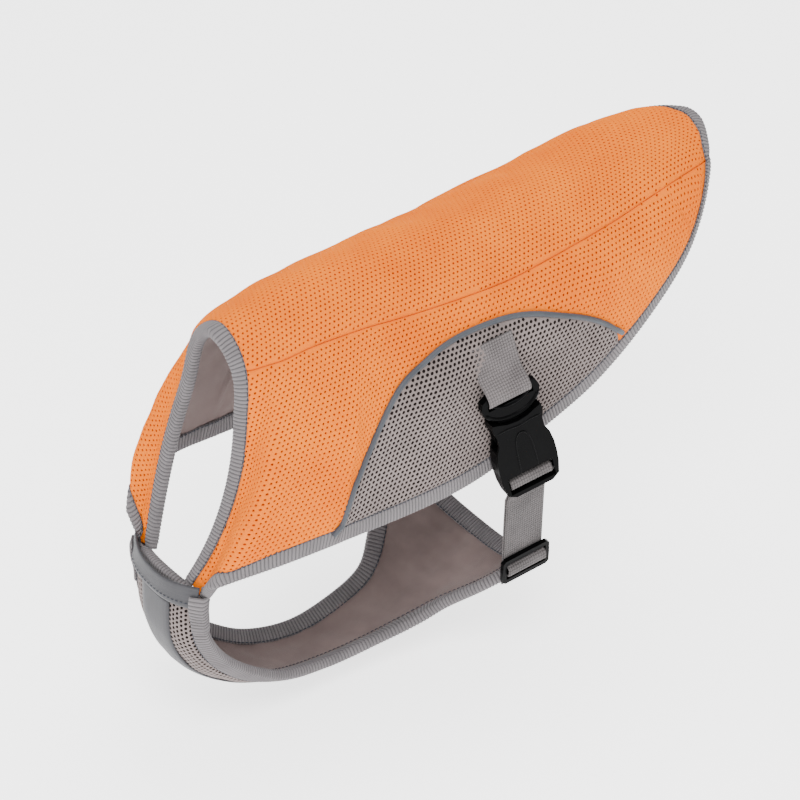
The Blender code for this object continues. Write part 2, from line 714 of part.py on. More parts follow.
# ---------------------------------------------------------------- the whole vest
def build_shell(orange, gray, knit, ribbed, cord):
    """Back, sides, flanks, their lining, bindings and piping; returns the outer skin."""
    points = shell_lattice()
    normals = lattice_normals(points)
    columns, rows = points.shape[0] - 1, points.shape[1] - 1
    middle = rows // 2
    seam = (middle - BACK_ROWS, middle + BACK_ROWS)
    piping_row = (FLANK_ROWS, rows - FLANK_ROWS)
    lift = GAP / 2
    every = range(columns)
    flank_columns = range(FLANK_FIRST, FLANK_LAST)

    def piece(cells, outer_edge=PANEL_EDGE, outer=PANEL, inner=lift):
        return Cloth(cells, points, normals, inner, outer_edge, outer)

    back = piece([(i, j) for i in every for j in range(seam[0], seam[1])])
    back.build("back_center", orange)
    panels = [back]
    for side, flank_rows, side_rows in (
            ("left", range(0, piping_row[0]), range(0, seam[0])),
            ("right", range(piping_row[1], rows), range(seam[1], rows))):
        flank_cells = {(i, j) for i in flank_columns for j in flank_rows}
        side_cells = {(i, j) for i in every for j in side_rows} - flank_cells
        panel = piece(side_cells)
        panel.build("side_" + side, orange)
        flank = piece(flank_cells)
        flank.build("flank_" + side, gray)
        panels += [panel, flank]
    lining = piece([(i, j) for i in every for j in range(rows)], LINING, LINING, -lift - LINING)
    lining.build("back_lining", knit)
    high = skin(panels, "high")
    low = skin([lining], "low")

    hem_start = COLUMN_PLACES.index(2)

    def path(i, j, di, dj):
        return lattice_path(points, normals, (i, j), (di, dj))

    neck = [path(0, j, 1, 0) for j in range(rows + 1)]
    hem_left = [path(i, 0, 0, 1) for i in range(hem_start, columns)]
    hem_right = [path(i, rows, 0, -1) for i in range(columns - 1, hem_start - 1, -1)]
    tail = [path(columns, j, -1, 0) for j in range(seam[0], seam[1] + 1)]
    hem = hem_left + tail + hem_right
    binding("neck_binding", neck, half_way(neck, hem, NECK_TAPE), high, low, ribbed,
            len(neck) // 2)
    widths = np.minimum(half_way(hem, neck, HEM_TAPE), LIMB_TAPE + 0.6 * np.arange(len(hem)))
    widths = np.minimum(widths, widths[::-1])
    binding("hem_binding", hem, widths, high, low, ribbed, len(hem) // 2)

    lie = lift + PANEL_EDGE + 2 * GAP + PIPING_RADIUS
    for side, row in zip(("left", "right"), piping_row):
        route = np.array([points[i, row] + normals[i, row] * lie
                          for i in range(FLANK_FIRST, FLANK_LAST + 1)])
        tube("flank_piping_" + side, trimmed(route, 3.0, 3.0), PIPING_RADIUS, 8, cord)
    return high


def resampled(line, fellows, distances):
    """A line of points and the arrays that go with it, read at distances along the line."""
    run = lengths(line)
    return [np.stack([np.interp(distances, run, values[:, k]) for k in range(3)], axis=-1)
            for values in (line, *fellows)]


def edge_paths(points, normals, column, step, corner):
    """Lines inwards from a cross edge of the chest piece, kept off its corners."""
    rows = points.shape[1] - 1
    run = lengths(points[column])
    inner_rows = [j for j in range(rows + 1) if corner < run[j] < run[-1] - corner]
    places = [np.interp(corner, run, range(rows + 1))]
    places += [float(j) for j in inner_rows]
    places += [rows - places[0]]
    paths = []
    for place in places:
        j = min(int(place), rows - 1)
        share = place - j
        columns = [column + step * k for k in range(6)]
        line = [points[i, j] * (1 - share) + points[i, j + 1] * share for i in columns]
        out = [normals[i, j] * (1 - share) + normals[i, j + 1] * share for i in columns]
        paths.append((np.array(line), unit(np.array(out))))
    return paths


def build_chest(gray, knit, ribbed, plain):
    """The chest piece, its lining and bindings, and the strip down its front."""
    points = chest_lattice()
    normals = lattice_normals(points)
    columns, rows = points.shape[0] - 1, points.shape[1] - 1
    lift = GAP / 2
    cells = [(i, j) for i in range(columns) for j in range(rows)]
    panel = Cloth(cells, points, normals, lift, PANEL_EDGE, PANEL)
    panel.build("chest_panel", gray)
    lining = Cloth(cells, points, normals, -lift - LINING, LINING, LINING)
    lining.build("chest_lining", knit)
    high = skin([panel], "high")
    low = skin([lining], "low")
    every = range(columns + 1)
    for side, row, step in (("left", rows, -1), ("right", 0, 1)):
        paths = [lattice_path(points, normals, (i, row), (0, step)) for i in every]
        widths = CHEST_TAPE - FRONT_NARROWER * np.clip(1 - np.arange(columns + 1) / 8, 0, 1)
        binding("chest_binding_" + side, paths, widths, high, low, ribbed)
    for name, column, step in (("chest_neck_binding", 0, 1), ("belly_binding", columns, -1)):
        paths = edge_paths(points, normals, column, step, CHEST_TAPE + 1.5)
        widths = [CHEST_TAPE] * len(paths)
        binding(name, paths, widths, high, low, ribbed, len(paths) // 2)
    strip = []
    middle = rows // 2
    for i in np.arange(STRIP_FIRST, STRIP_LAST + 0.01, 1.0):
        line = points[int(i)]
        across = (STRIP_WIDTH / 2) / abs(line[middle + 1][1] - line[middle][1])
        places = middle + np.array((-across, -1, 0, 1, across))
        base = np.stack([np.interp(places, range(rows + 1), line[:, k]) for k in range(3)], -1)
        out = np.stack([np.interp(places, range(rows + 1), normals[int(i)][:, k])
                        for k in range(3)], -1)
        out = unit(out)
        heights = [height_over(high, p, n, 1) for p, n in zip(base, out)]
        strip.append((base + out * (np.array(heights)[:, None] + GAP + 0.2), out))
    ribbon("chest_strip", strip, STRIP_THICK, plain)
    return points, normals


def build_band(points, normals, plain):
    """The band across the chest top, over the ends of the limbs."""
    line = points[0]
    total = lengths(line)[-1]
    distances = np.linspace(2.5, total - 2.5, 17)
    line, lower, out = resampled(line, (points[1], normals[0]), distances)
    tree = world_skin()
    rings = []
    for k, (point, inside, normal) in enumerate(zip(line, lower, unit(out))):
        end = abs(2 * k / 16 - 1)
        down = unit(inside - point)
        top = point[2] - BAND_TOP - BAND_END_RISE * end ** 2
        heights = []
        steps = np.linspace(top, top + BAND_HEIGHT, 5)
        for step in np.linspace(steps[0], steps[-1], 13):
            place = (point + down * step - ORIGIN) * MM
            hit = tree.ray_cast(Vector(place + normal * 20 * MM), Vector(-normal))
            if hit[0] is not None:
                heights.append(20 - hit[3] / MM)
        rings.append((point, down, normal, steps, max(heights)))
    lift = np.array([ring[4] for ring in rings])
    lift = np.maximum(lift, np.maximum(np.roll(lift, 1), np.roll(lift, -1)))
    rows = []
    for (point, down, normal, steps, _), height in zip(rings, lift):
        inner = np.array([point + down * s + normal * (height + GAP + 0.2) for s in steps])
        rows.append((inner, np.tile(normal, (5, 1))))
    ribbon("chest_band", rows, BAND_THICK, plain)


def world_skin():
    """One surface of every object built so far."""
    graph = bpy.context.evaluated_depsgraph_get()
    vertices = []
    faces = []
    for part in bpy.data.objects:
        mesh = part.evaluated_get(graph).to_mesh()
        start = len(vertices)
        vertices += [tuple(v.co) for v in mesh.vertices]
        faces += [[start + k for k in p.vertices] for p in mesh.polygons]
    return BVHTree.FromPolygons(vertices, faces)


def main():
    """Builds every piece of the vest."""
    clear_scene()
    orange = finish("orange_air_mesh", (0.86, 0.25, 0.03), 0.8)
    gray = finish("gray_air_mesh", (0.32, 0.29, 0.28), 0.85)
    knit = finish("lining_knit", (0.36, 0.28, 0.27), 0.9)
    ribbed = finish("ribbed_tape", (0.28, 0.28, 0.29), 0.85)
    cord = finish("piping_cord", (0.22, 0.24, 0.26), 0.7)
    plain = finish("smooth_gray_cloth", (0.25, 0.25, 0.26), 0.6)
    woven = finish("woven_webbing", (0.33, 0.31, 0.30), 0.8)
    plastic = finish("black_plastic", (0.02, 0.02, 0.02), 0.4)
    high = build_shell(orange, gray, knit, ribbed, cord)
    chest = build_chest(gray, knit, ribbed, plain)
    build_band(*chest, plain)
    male, female = build_buckle(plastic)
    slider = build_slider(plastic)
    lower = build_lower_webbing(woven)
    upper = build_upper_webbing(high, 1.5 + PIPING_RADIUS, woven)
    for part in (male, female, slider, lower, upper):
        mirror(part, part.name.replace("_left", "_right"))


main()
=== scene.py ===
"""Looks of the dog cooling vest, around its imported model.

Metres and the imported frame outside; the tables and the functions that follow the
cloth work in millimetres, with x from the neck edge of the back.
"""
import json
import math

import bmesh
import bpy
import numpy as np
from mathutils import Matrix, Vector
from mathutils.bvhtree import BVHTree
from mathutils.geometry import delaunay_2d_cdt

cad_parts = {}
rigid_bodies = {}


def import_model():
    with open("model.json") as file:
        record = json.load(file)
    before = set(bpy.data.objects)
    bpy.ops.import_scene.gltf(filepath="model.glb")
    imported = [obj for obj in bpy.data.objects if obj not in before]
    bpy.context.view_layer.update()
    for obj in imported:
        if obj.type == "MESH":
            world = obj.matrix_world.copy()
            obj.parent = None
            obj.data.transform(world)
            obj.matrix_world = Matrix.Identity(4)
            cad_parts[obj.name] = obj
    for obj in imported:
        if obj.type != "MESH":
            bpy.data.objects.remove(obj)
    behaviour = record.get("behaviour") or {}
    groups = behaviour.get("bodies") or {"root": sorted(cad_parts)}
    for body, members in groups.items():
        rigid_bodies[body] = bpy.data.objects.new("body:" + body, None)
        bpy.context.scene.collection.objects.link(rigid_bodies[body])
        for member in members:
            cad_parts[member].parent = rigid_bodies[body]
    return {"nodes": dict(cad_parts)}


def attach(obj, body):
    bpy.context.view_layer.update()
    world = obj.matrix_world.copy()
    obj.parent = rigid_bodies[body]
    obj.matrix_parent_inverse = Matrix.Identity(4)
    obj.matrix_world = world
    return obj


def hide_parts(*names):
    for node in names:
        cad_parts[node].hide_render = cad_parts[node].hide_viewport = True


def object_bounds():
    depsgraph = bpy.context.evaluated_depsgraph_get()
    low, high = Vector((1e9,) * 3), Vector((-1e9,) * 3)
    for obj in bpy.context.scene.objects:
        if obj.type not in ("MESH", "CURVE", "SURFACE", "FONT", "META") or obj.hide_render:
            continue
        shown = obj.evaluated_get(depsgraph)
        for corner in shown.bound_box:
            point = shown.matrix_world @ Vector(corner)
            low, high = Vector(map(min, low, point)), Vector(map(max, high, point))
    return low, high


MM = 0.001
ORIGIN = np.array((150.0, 0.0, 18.6))

# ------------------------------ sizes of the looks (mm)
LIFT = 0.15               # the outer cloth lies this far above the middle surface
LINING = 1.2              # thickness of the lining
PUFF = 3.0                # height of the mesh in the middle of a panel
PRESSED = 1.7             # and under the tape
TAPE = 1.0                # thickness of the tape
TAPE_ROLL = 1.7           # how far its fold stands out from the edge of the cloth
NECK_TAPE = 7.0           # its widths
HEM_TAPE = 9.0
LIMB_TAPE = 5.5
CHEST_TAPE = 8.6
RIB = 2.1                 # pitch of the ribs of the tape
HOLE_PITCH = 2.85
HOLE_DEPTH = 1.3
HOLE_SIDES = 6
HOLE_TILT = 0.5           # turn of the oval holes, in radians
FINE_HOLE = (0.66, 0.52)  # half length and half width of a hole, in the orange mesh
COARSE_HOLE = (1.02, 0.84)  # and in the gray one
EDGE_STEP = 0.9           # spacing of a panel's edge points
STITCH_PITCH = 2.7
STITCH_LENGTH = 2.2
STITCH_INSET = 0.35       # from the inner edge of the tape
STITCH_RADIUS = 0.34
PLASTIC_EDGE = 1.1        # rounding of the buckles' and sliders' edges
WARP = 1.7                # pitches of the webbing's weave
WEFT = 1.5
PIPING_RADIUS = 1.5
PIPING_HEIGHT = 3.2       # of its middle over the middle surface
PIPING_END = 4.8          # it runs on this far past both ends of its line
BAND_WIDTH = 13.0
STRIP_WIDTH = 24.0

SECTION_COLUMNS = ("x_spine", "spine_z", "x_seam", "seam_y", "seam_z",
                   "shoulder_y", "shoulder_z", "wall_y", "wall_z",
                   "x_hem", "hem_y", "hem_z")
SECTIONS = (
    (-7, 12.0, -4, 16, -2, 22, -30, 26, -62, -37, 17.5, -120.5),
    (1, 13.0, 0, 22, -1, 28.5, -34, 31, -66, -37, 23.5, -122.5),
    (9, 14.0, 8, 25.5, 0.5, 34.5, -34, 37.5, -68, -36, 29.5, -124.5),
    (18, 15.5, 18, 28, 1.5, 43, -31, 50, -68, -34.5, 41.5, -109.5),
    (35, 19.0, 35, 30, 4, 47, -26, 55, -66, -6, 56, -99),
    (62, 21.0, 62, 33, 5, 51, -22, 58, -62, 40, 58, -99),
    (90, 21.0, 90, 36, 4, 54, -20, 59, -60, 84, 60, -98),
    (120, 20.0, 120, 39, 4, 56, -18, 59, -54, 120, 59, -95),
    (152, 20.0, 152, 40, 4, 56, -14, 58.5, -46, 157, 57, -84),
    (188, 21.0, 186, 40, 8, 55, -8, 58, -34, 200, 56, -66),
    (226, 23.0, 222, 38, 12, 51, 1, 55, -16, 241, 52, -38),
    (268, 27.0, 258, 36, 19, 44, 10, 46, -1, 272, 43, -13),
    (307, 30.0, 293, 29, 20, 29, 20, 29, 20, 293, 29, 20),
)
PIPING_COLUMNS = ("x", "z")
PIPING = ((28, -90), (45, -55), (65, -27), (90, -14), (130, -8), (165, -13), (200, -31),
          (215, -45))
FLANK_FIRST = 3 + 5 / 3   # the piping leaves the front hem at this section
FLANK_LAST = 3 + 19 / 3   # and comes back to the rear hem at this one

CHEST_COLUMNS = ("x", "z", "edge_x", "edge_y", "edge_z", "curl")
CHEST = (
    (-43, -120.5, -35.5, 29.5, -127, 2.2),
    (-44.5, -140, -37, 30, -138, 3),
    (-44, -161, -35, 30, -154, 2.8),
    (-35.5, -182, -22, 27, -176, 2.5),
    (-14, -202, -2, 25, -195, 2.5),
    (18, -216, 20, 22, -209, 2.5),
    (48, -221, 48, 20, -215, 2.5),
    (76, -220, 76, 22, -213, 2.5),
    (103, -214, 102, 27, -207, 2.5),
    (120, -207, 116, 36, -195, 2.8),
    (134, -199, 131, 50, -181, 3.0),
    (148, -190, 147, 55, -175, 3.2),
    (163, -182, 162, 53, -174, 3.0),
)


# ------------------------------ lines
def table(columns, rows):
    """The rows of a table as one array for each named column."""
    return {name: np.array([row[k] for row in rows], float) for k, name in enumerate(columns)}


def smooth(knots, values, at):
    """A smooth curve through the values, one for each knot, read at the given places."""
    knots = np.asarray(knots, float)
    values = np.asarray(values, float)
    at = np.clip(np.atleast_1d(np.asarray(at, float)), knots[0], knots[-1])
    steps = np.diff(knots)
    if values.ndim == 2:
        steps = steps[:, None]
    slopes = np.diff(values, axis=0) / steps
    inner = (slopes[:-1] * steps[1:] + slopes[1:] * steps[:-1]) / (steps[:-1] + steps[1:])
    first = 2 * slopes[:1] - inner[:1]
    last = 2 * slopes[-1:] - inner[-1:]
    tangents = np.concatenate((first, inner, last))
    cell = np.clip(np.searchsorted(knots, at, side="right") - 1, 0, len(knots) - 2)
    span = np.diff(knots)[cell]
    t = (at - knots[cell]) / span
    if values.ndim == 2:
        t = t[:, None]
        span = span[:, None]
    start = (1 + 2 * t) * (1 - t) ** 2 * values[cell] + t * (1 - t) ** 2 * span * tangents[cell]
    end = t * t * (3 - 2 * t) * values[cell + 1] + t * t * (t - 1) * span * tangents[cell + 1]
    return start + end


def lengths(points):
    """Distance along a line of points, from its start."""
    return np.concatenate(([0.0], np.cumsum(np.linalg.norm(np.diff(points, axis=0), axis=1))))


def read(at, run, values):
    """Rows of values, one for each place of run, read at the given places."""
    return np.stack([np.interp(at, run, values[:, k]) for k in range(values.shape[1])], axis=-1)


def along(points, distance):
    """The points at the given distances along a line of points."""
    return read(distance, lengths(points), points)


def unit(vectors):
    """Vectors brought to length one."""
    size = np.linalg.norm(vectors, axis=-1, keepdims=True)
    return vectors / np.maximum(size, 1e-9)


def from_ends(count):
    """For each of a row of points, how many lie between it and the nearer end."""
    return np.minimum(np.arange(count), np.arange(count)[::-1])


def signed_area(loop):
    """Area of a closed loop in the plane, above zero when it turns left."""
    x, y = loop[:, 0], loop[:, 1]
    return np.sum(x * np.roll(y, -1) - y * np.roll(x, -1)) / 2


def ramp(value):
    """Zero below 0, one above 1 and smooth between."""
    value = np.clip(value, 0, 1)
    return value * value * (3 - 2 * value)


def roll(distance, width):
    """A rounded edge: zero at the edge, one from the given width on."""
    share = 1 - np.clip(distance / width, 0, 1)
    return np.sqrt(np.maximum(0.0, 1 - share ** 2.4))


def waves(points, seed, size, count=9):
    """Soft bumps over the plane, between about -1 and 1, of roughly the given size."""
    draw = np.random.default_rng(seed)
    total = np.zeros(len(points))
    for _ in range(count):
        angle = draw.uniform(0, 2 * math.pi)
        length = size * draw.uniform(0.7, 1.8)
        wave = (points[:, 0] * math.cos(angle) + points[:, 1] * math.sin(angle)) / length
        total += np.sin(2 * math.pi * (wave + draw.uniform(0, 1)))
    return total / math.sqrt(count)


# ------------------------------ surfaces
def section_lines(u):
    """One section of the shell: its line from the spine to the seam, and on to the hem."""
    t = table(SECTION_COLUMNS, SECTIONS)
    at = np.arange(len(SECTIONS))
    row = {name: float(smooth(at, t[name], u)[0]) for name in SECTION_COLUMNS}
    spine = (row["x_spine"], 0.0, row["spine_z"])
    seam = (row["x_seam"], row["seam_y"], row["seam_z"])
    hem = (row["x_hem"], row["hem_y"], row["hem_z"])
    drop = max(seam[2] - hem[2], 0.01)
    inner = []
    for part in ("shoulder", "wall"):
        z = row[part + "_z"]
        share = ((seam[2] - z) / drop) ** (1 + 0.2 * max(0.0, 3 - u))
        inner.append((seam[0] + (hem[0] - seam[0]) * share, row[part + "_y"], z))
    mirrored = (seam[0], -seam[1], seam[2])
    points = np.array([mirrored, spine, seam, *inner, hem])
    knots = np.concatenate(([0.0], np.cumsum(np.maximum(
        np.linalg.norm(np.diff(points, axis=0), axis=1), 0.01))))
    back = smooth(knots, points, np.linspace(knots[1], knots[2], 25))
    side = smooth(knots, points, np.linspace(knots[2], knots[5], 97))
    return back, side


BACK_CELLS = 9            # lattice cells from the spine to the seam
SIDE_CELLS = 18           # from the seam to the piping
FLANK_CELLS = 12          # from the piping to the hem
SHELL_PLACES = np.unique(np.concatenate((np.linspace(0, 3, 25), np.linspace(3, 11.4, 85),
                                         np.linspace(11.4, 12, 13),
                                         (FLANK_FIRST, FLANK_LAST))))


def shell_lattice():
    """The shell as a lattice: columns from neck to tail, rows from the left to the right hem."""
    piping = table(PIPING_COLUMNS, PIPING)
    half = []
    for place in SHELL_PLACES:
        back, side = section_lines(place)
        side_run = lengths(side)[-1]
        seam_row = side_run - 9.5 if place < 11 else side_run / 2
        if FLANK_FIRST <= place <= FLANK_LAST:
            below = smooth(piping["x"], piping["z"], side[:, 0]) - side[:, 2]
            k = int(np.argmax(below >= 0))
            share = below[k] / (below[k] - below[k - 1]) if k else 0.0
            height = lengths(side)[k] - share * (lengths(side)[k] - lengths(side)[max(k - 1, 0)])
            seam_row = min(height, side_run - 1.0)
        upper = np.linspace(0, seam_row, SIDE_CELLS + 1)[1:]
        lower = np.linspace(seam_row, side_run, FLANK_CELLS + 1)[1:]
        half.append(np.concatenate((along(back, np.linspace(0, lengths(back)[-1], BACK_CELLS + 1)),
                                    along(side, np.concatenate((upper, lower))))))
    half = np.array(half)
    left = half[:, :0:-1] * (1, -1, 1)
    return np.concatenate((left, half), axis=1)


def chest_lattice():
    """The chest piece as a lattice: columns from its top to the belly's rear edge."""
    t = table(CHEST_COLUMNS, CHEST)
    places = np.linspace(0, len(CHEST) - 1, 121)
    line = {name: smooth(np.arange(len(CHEST)), t[name], places) for name in CHEST_COLUMNS}
    share = np.linspace(1, -1, 41)
    rise = np.abs(share)[None, :] ** line["curl"][:, None]
    x = line["x"][:, None] + (line["edge_x"] - line["x"])[:, None] * rise
    y = line["edge_y"][:, None] * share[None, :]
    z = line["z"][:, None] + (line["edge_z"] - line["z"])[:, None] * rise
    return np.stack((x, y, z), axis=-1)


def lattice_normals(points, outwards):
    """Outward normals of a lattice, shared where its points meet."""
    along_columns = np.gradient(points, axis=0)
    along_rows = np.gradient(points, axis=1)
    normals = np.cross(along_columns, along_rows)
    size = np.linalg.norm(normals, axis=-1)
    normals = unit(normals)
    if np.sum(normals * outwards) < 0:
        normals = -normals
    weak = np.argwhere(size < 1e-4)
    for i, j in weak:
        normals[i, j] = normals[i - 1, j] if i else normals[i + 1, j]
    return normals


def flattened(points, start):
    """The lattice laid flat: places in the plane with nearly the same distances."""
    flat = start.copy()
    links = []
    for di, dj in ((1, 0), (0, 1), (1, 1), (1, -1), (3, 0), (0, 3)):
        one = (slice(0, flat.shape[0] - di),
               slice(max(0, -dj), flat.shape[1] - max(0, dj)))
        two = (slice(di, flat.shape[0]),
               slice(max(0, dj), flat.shape[1] - max(0, -dj)))
        rest = np.linalg.norm(points[one] - points[two], axis=-1)
        links.append((one, two, rest))
    for _ in range(900):
        move = np.zeros_like(flat)
        for one, two, rest in links:
            gap = flat[two] - flat[one]
            size = np.linalg.norm(gap, axis=-1)
            push = gap * ((size - rest) / np.maximum(size, 1e-6))[..., None]
            move[one] += push
            move[two] -= push
        flat += move / 13
    return flat


class Surface:
    """A middle surface with its flat coordinates: it turns flat places into places in space."""

    def __init__(self, points, outwards, flat):
        self.points = points
        self.normals = lattice_normals(points, outwards)
        self.flat = flattened(points, flat)
        columns, rows = points.shape[:2]
        index = np.arange(columns * rows).reshape(columns, rows)
        a, b = index[:-1, :-1].ravel(), index[1:, :-1].ravel()
        c, d = index[1:, 1:].ravel(), index[:-1, 1:].ravel()
        faces = np.concatenate((np.stack((a, b, c), -1), np.stack((a, c, d), -1)))
        places = self.flat.reshape(-1, 2)
        size = np.abs(np.cross(places[faces[:, 1]] - places[faces[:, 0]],
                               places[faces[:, 2]] - places[faces[:, 0]]))
        self.faces = faces[size > 1e-4]
        self.places = places
        self.all_points = points.reshape(-1, 3)
        self.all_normals = self.normals.reshape(-1, 3)
        vertices = [(p[0], p[1], 0.0) for p in places]
        self.tree = BVHTree.FromPolygons(vertices, self.faces.tolist())

    def at(self, places):
        """Points of the middle surface and normals at flat places."""
        found = [self.tree.find_nearest(Vector((p[0], p[1], 0.0))) for p in places]
        face = self.faces[[hit[2] for hit in found]]
        spot = np.array([(hit[0][0], hit[0][1]) for hit in found])
        a, b, c = (self.places[face[:, k]] for k in range(3))
        whole = np.cross(b - a, c - a)
        wb = np.cross(spot - a, c - a) / whole
        wc = np.cross(b - a, spot - a) / whole
        weights = np.stack((1 - wb - wc, wb, wc), -1)[..., None]
        points = (self.all_points[face] * weights).sum(1)
        normals = unit((self.all_normals[face] * weights).sum(1))
        return points, normals

    def solid(self, places, heights):
        """Points at flat places, raised by the given heights."""
        points, normals = self.at(places)
        return points + normals * np.asarray(heights)[:, None]


# ------------------------------ meshes
def linked(name, data):
    """An object of the scene."""
    item = bpy.data.objects.new(name, data)
    bpy.context.scene.collection.objects.link(item)
    return item


def declare(piece, nodes=()):
    """Hides the imported nodes that a piece stands for."""
    if nodes:
        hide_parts(*nodes)


def add_mesh(name, points, faces, materials, marks=None, flat=None):
    """A mesh from points in millimetres, facing outwards.

    Marks are the faces' material numbers, flat the points' places on the cut cloth.
    """
    mesh = bpy.data.meshes.new(name)
    mesh.from_pydata(((np.asarray(points) - ORIGIN) * MM).tolist(), [],
                     [list(map(int, f)) for f in faces])
    for material in materials:
        mesh.materials.append(material)
    if marks is not None:
        mesh.polygons.foreach_set("material_index", np.asarray(marks, dtype=np.int32))
    if flat is not None:
        layer = mesh.uv_layers.new(name="cloth")
        corners = np.empty(len(mesh.loops), dtype=np.int32)
        mesh.loops.foreach_get("vertex_index", corners)
        layer.data.foreach_set("uv", (np.asarray(flat)[corners] * MM).astype(np.float32).ravel())
    work = bmesh.new()
    work.from_mesh(mesh)
    bmesh.ops.recalc_face_normals(work, faces=work.faces)
    if work.calc_volume(signed=True) < 0:
        bmesh.ops.reverse_faces(work, faces=work.faces)
    work.to_mesh(mesh)
    work.free()
    mesh.shade_smooth()
    piece = linked(name, mesh)
    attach(piece, "root")
    return piece


def distances(places, line):
    """Distance from each place to the nearest point of a line, and that point's number."""
    best = np.full(len(places), np.inf)
    which = np.zeros(len(places), dtype=int)
    for start in range(0, len(places), 2000):
        block = places[start:start + 2000]
        gap = ((block[:, None, :] - line[None, :, :]) ** 2).sum(-1)
        which[start:start + 2000] = gap.argmin(1)
        best[start:start + 2000] = np.sqrt(gap.min(1))
    return best, which


def evenly(line, step):
    """A line of points with an even spacing near the given step."""
    total = lengths(line)[-1]
    count = max(2, int(round(total / step)) + 1)
    return along(line, np.linspace(0, total, count))


def inside(places, loop):
    """Which places lie inside a closed loop."""
    x, y = places[:, 0], places[:, 1]
    result = np.zeros(len(places), dtype=bool)
    for (ax, ay), (bx, by) in zip(loop, np.roll(loop, -1, axis=0)):
        crossing = (ay > y) != (by > y)
        if crossing.any():
            at = ax + (y - ay) * (bx - ax) / (by - ay if by != ay else 1.0)
            result ^= crossing & (x < at)
    return result


class Outline:
    """The closed outline of a panel in the flat, from edges of the kinds seam, tape and cord."""

    def __init__(self, edges):
        lines = [evenly(line, EDGE_STEP)[:-1] for _, line, _ in edges]
        counts = [len(line) for line in lines]
        self.loop = np.concatenate(lines)
        self.kinds = np.repeat([kind for kind, _, _ in edges], counts)
        self.widths = np.repeat([width for _, _, width in edges], counts)
        self.keep(np.linalg.norm(self.loop - np.roll(self.loop, 1, axis=0), axis=1) > 0.15)
        crossing = self.crossed()
        while crossing is not None:
            self.keep(np.delete(np.arange(len(self.loop)), crossing))
            crossing = self.crossed()
        area = signed_area(self.loop)
        self.area = abs(area)
        if area < 0:
            self.keep(slice(None, None, -1))
        ahead = np.roll(self.loop, -1, axis=0) - np.roll(self.loop, 1, axis=0)
        self.inward = unit(np.stack((-ahead[:, 1], ahead[:, 0]), -1))
        self.run = lengths(self.loop)

    def keep(self, chosen):
        """Keep the chosen points, with their kinds and widths."""
        self.loop, self.kinds, self.widths = (
            values[chosen] for values in (self.loop, self.kinds, self.widths))

    def crossed(self):
        """The points of a small knot where the outline crosses itself, or None."""
        def cross(one, two):
            return one[..., 0] * two[..., 1] - one[..., 1] * two[..., 0]

        step = np.roll(self.loop, -1, axis=0) - self.loop
        gap = self.loop[None, :, :] - self.loop[:, None, :]
        whole = cross(step[:, None], step[None])
        whole = np.where(np.abs(whole) < 1e-12, 1e-12, whole)
        t = cross(gap, step[None]) / whole
        u = cross(gap, step[:, None]) / whole
        index = np.arange(len(step))
        far = np.abs(index[:, None] - index[None, :])
        hit = (t > -1e-3) & (t < 1.001) & (u > -1e-3) & (u < 1.001)
        hit &= (np.minimum(far, len(step) - far) > 1) & (index[:, None] < index[None, :])
        pairs = np.argwhere(hit)
        if not len(pairs):
            return None
        knot = np.arange(pairs[0][0] + 1, pairs[0][1] + 1)
        return knot if 2 * len(knot) <= len(step) else np.setdiff1d(index, knot)

    def reach(self, places, kind):
        """Distance from each place to the edges of one kind, and the nearest edge point."""
        chosen = np.flatnonzero(self.kinds == kind)
        if not len(chosen):
            return np.full(len(places), 1e3), np.zeros(len(places), dtype=int)
        gap, which = distances(places, self.loop[chosen])
        return gap, chosen[which]


def panel_height(outline, places, seed):
    """Height of the air mesh over the middle surface."""
    seam, at_seam = outline.reach(places, "seam")
    cord, _ = outline.reach(places, "cord")
    tape, at_tape = outline.reach(places, "tape")
    beyond = tape - outline.widths[at_tape]
    puff = np.minimum(0.16 + 0.84 * roll(seam, 7.0), 0.58 + 0.42 * roll(cord - 0.8, 5.0))
    puff = np.minimum(puff, 0.56 + 0.44 * roll(np.maximum(beyond, 0), 6.0))
    soft = waves(places, seed, 42.0)
    fine = waves(places, seed + 1, 16.0)
    free = ramp(np.minimum(np.minimum(seam, cord), beyond) / 10)
    # uneven puckers along the seams
    pucker = np.sin(outline.run[at_seam] / 4.4 + 1.3 * np.sin(outline.run[at_seam] / 19.0))
    height = LIFT + PUFF * puff + free * (0.48 * soft + 0.16 * fine)
    height += 0.26 * pucker * np.exp(-seam / 5.0) * ramp(seam / 1.0)
    return np.maximum(height, LIFT + 0.5)


def hole_centres(outline):
    """Staggered rows of holes that fit inside an outline."""
    low = outline.loop.min(0) - HOLE_PITCH
    high = outline.loop.max(0) + HOLE_PITCH
    reach = np.linalg.norm(high - low) / 2 + HOLE_PITCH
    count = int(reach / HOLE_PITCH) + 2
    rows = np.arange(-count, count + 1)
    grid = np.array([((k + 0.5 * (r % 2)) * HOLE_PITCH, r * HOLE_PITCH * math.sqrt(0.75))
                     for r in rows for k in rows]) + (low + high) / 2
    grid = grid[(grid > low).all(1) & (grid < high).all(1)]
    grid = grid[inside(grid, outline.loop)]
    tape_gap, at_tape = outline.reach(grid, "tape")
    room = np.minimum.reduce((outline.reach(grid, "seam")[0] - 1.3,
                              outline.reach(grid, "cord")[0] - 2.3,
                              tape_gap - outline.widths[at_tape] + 0.4))
    return grid[room > 0]


def inner_grid(outline, step):
    """A square grid of places inside an outline."""
    low, high = outline.loop.min(0), outline.loop.max(0)
    grid = np.stack(np.meshgrid(np.arange(low[0], high[0], step),
                                np.arange(low[1], high[1], step)), -1).reshape(-1, 2)
    return grid[inside(grid, outline.loop)]


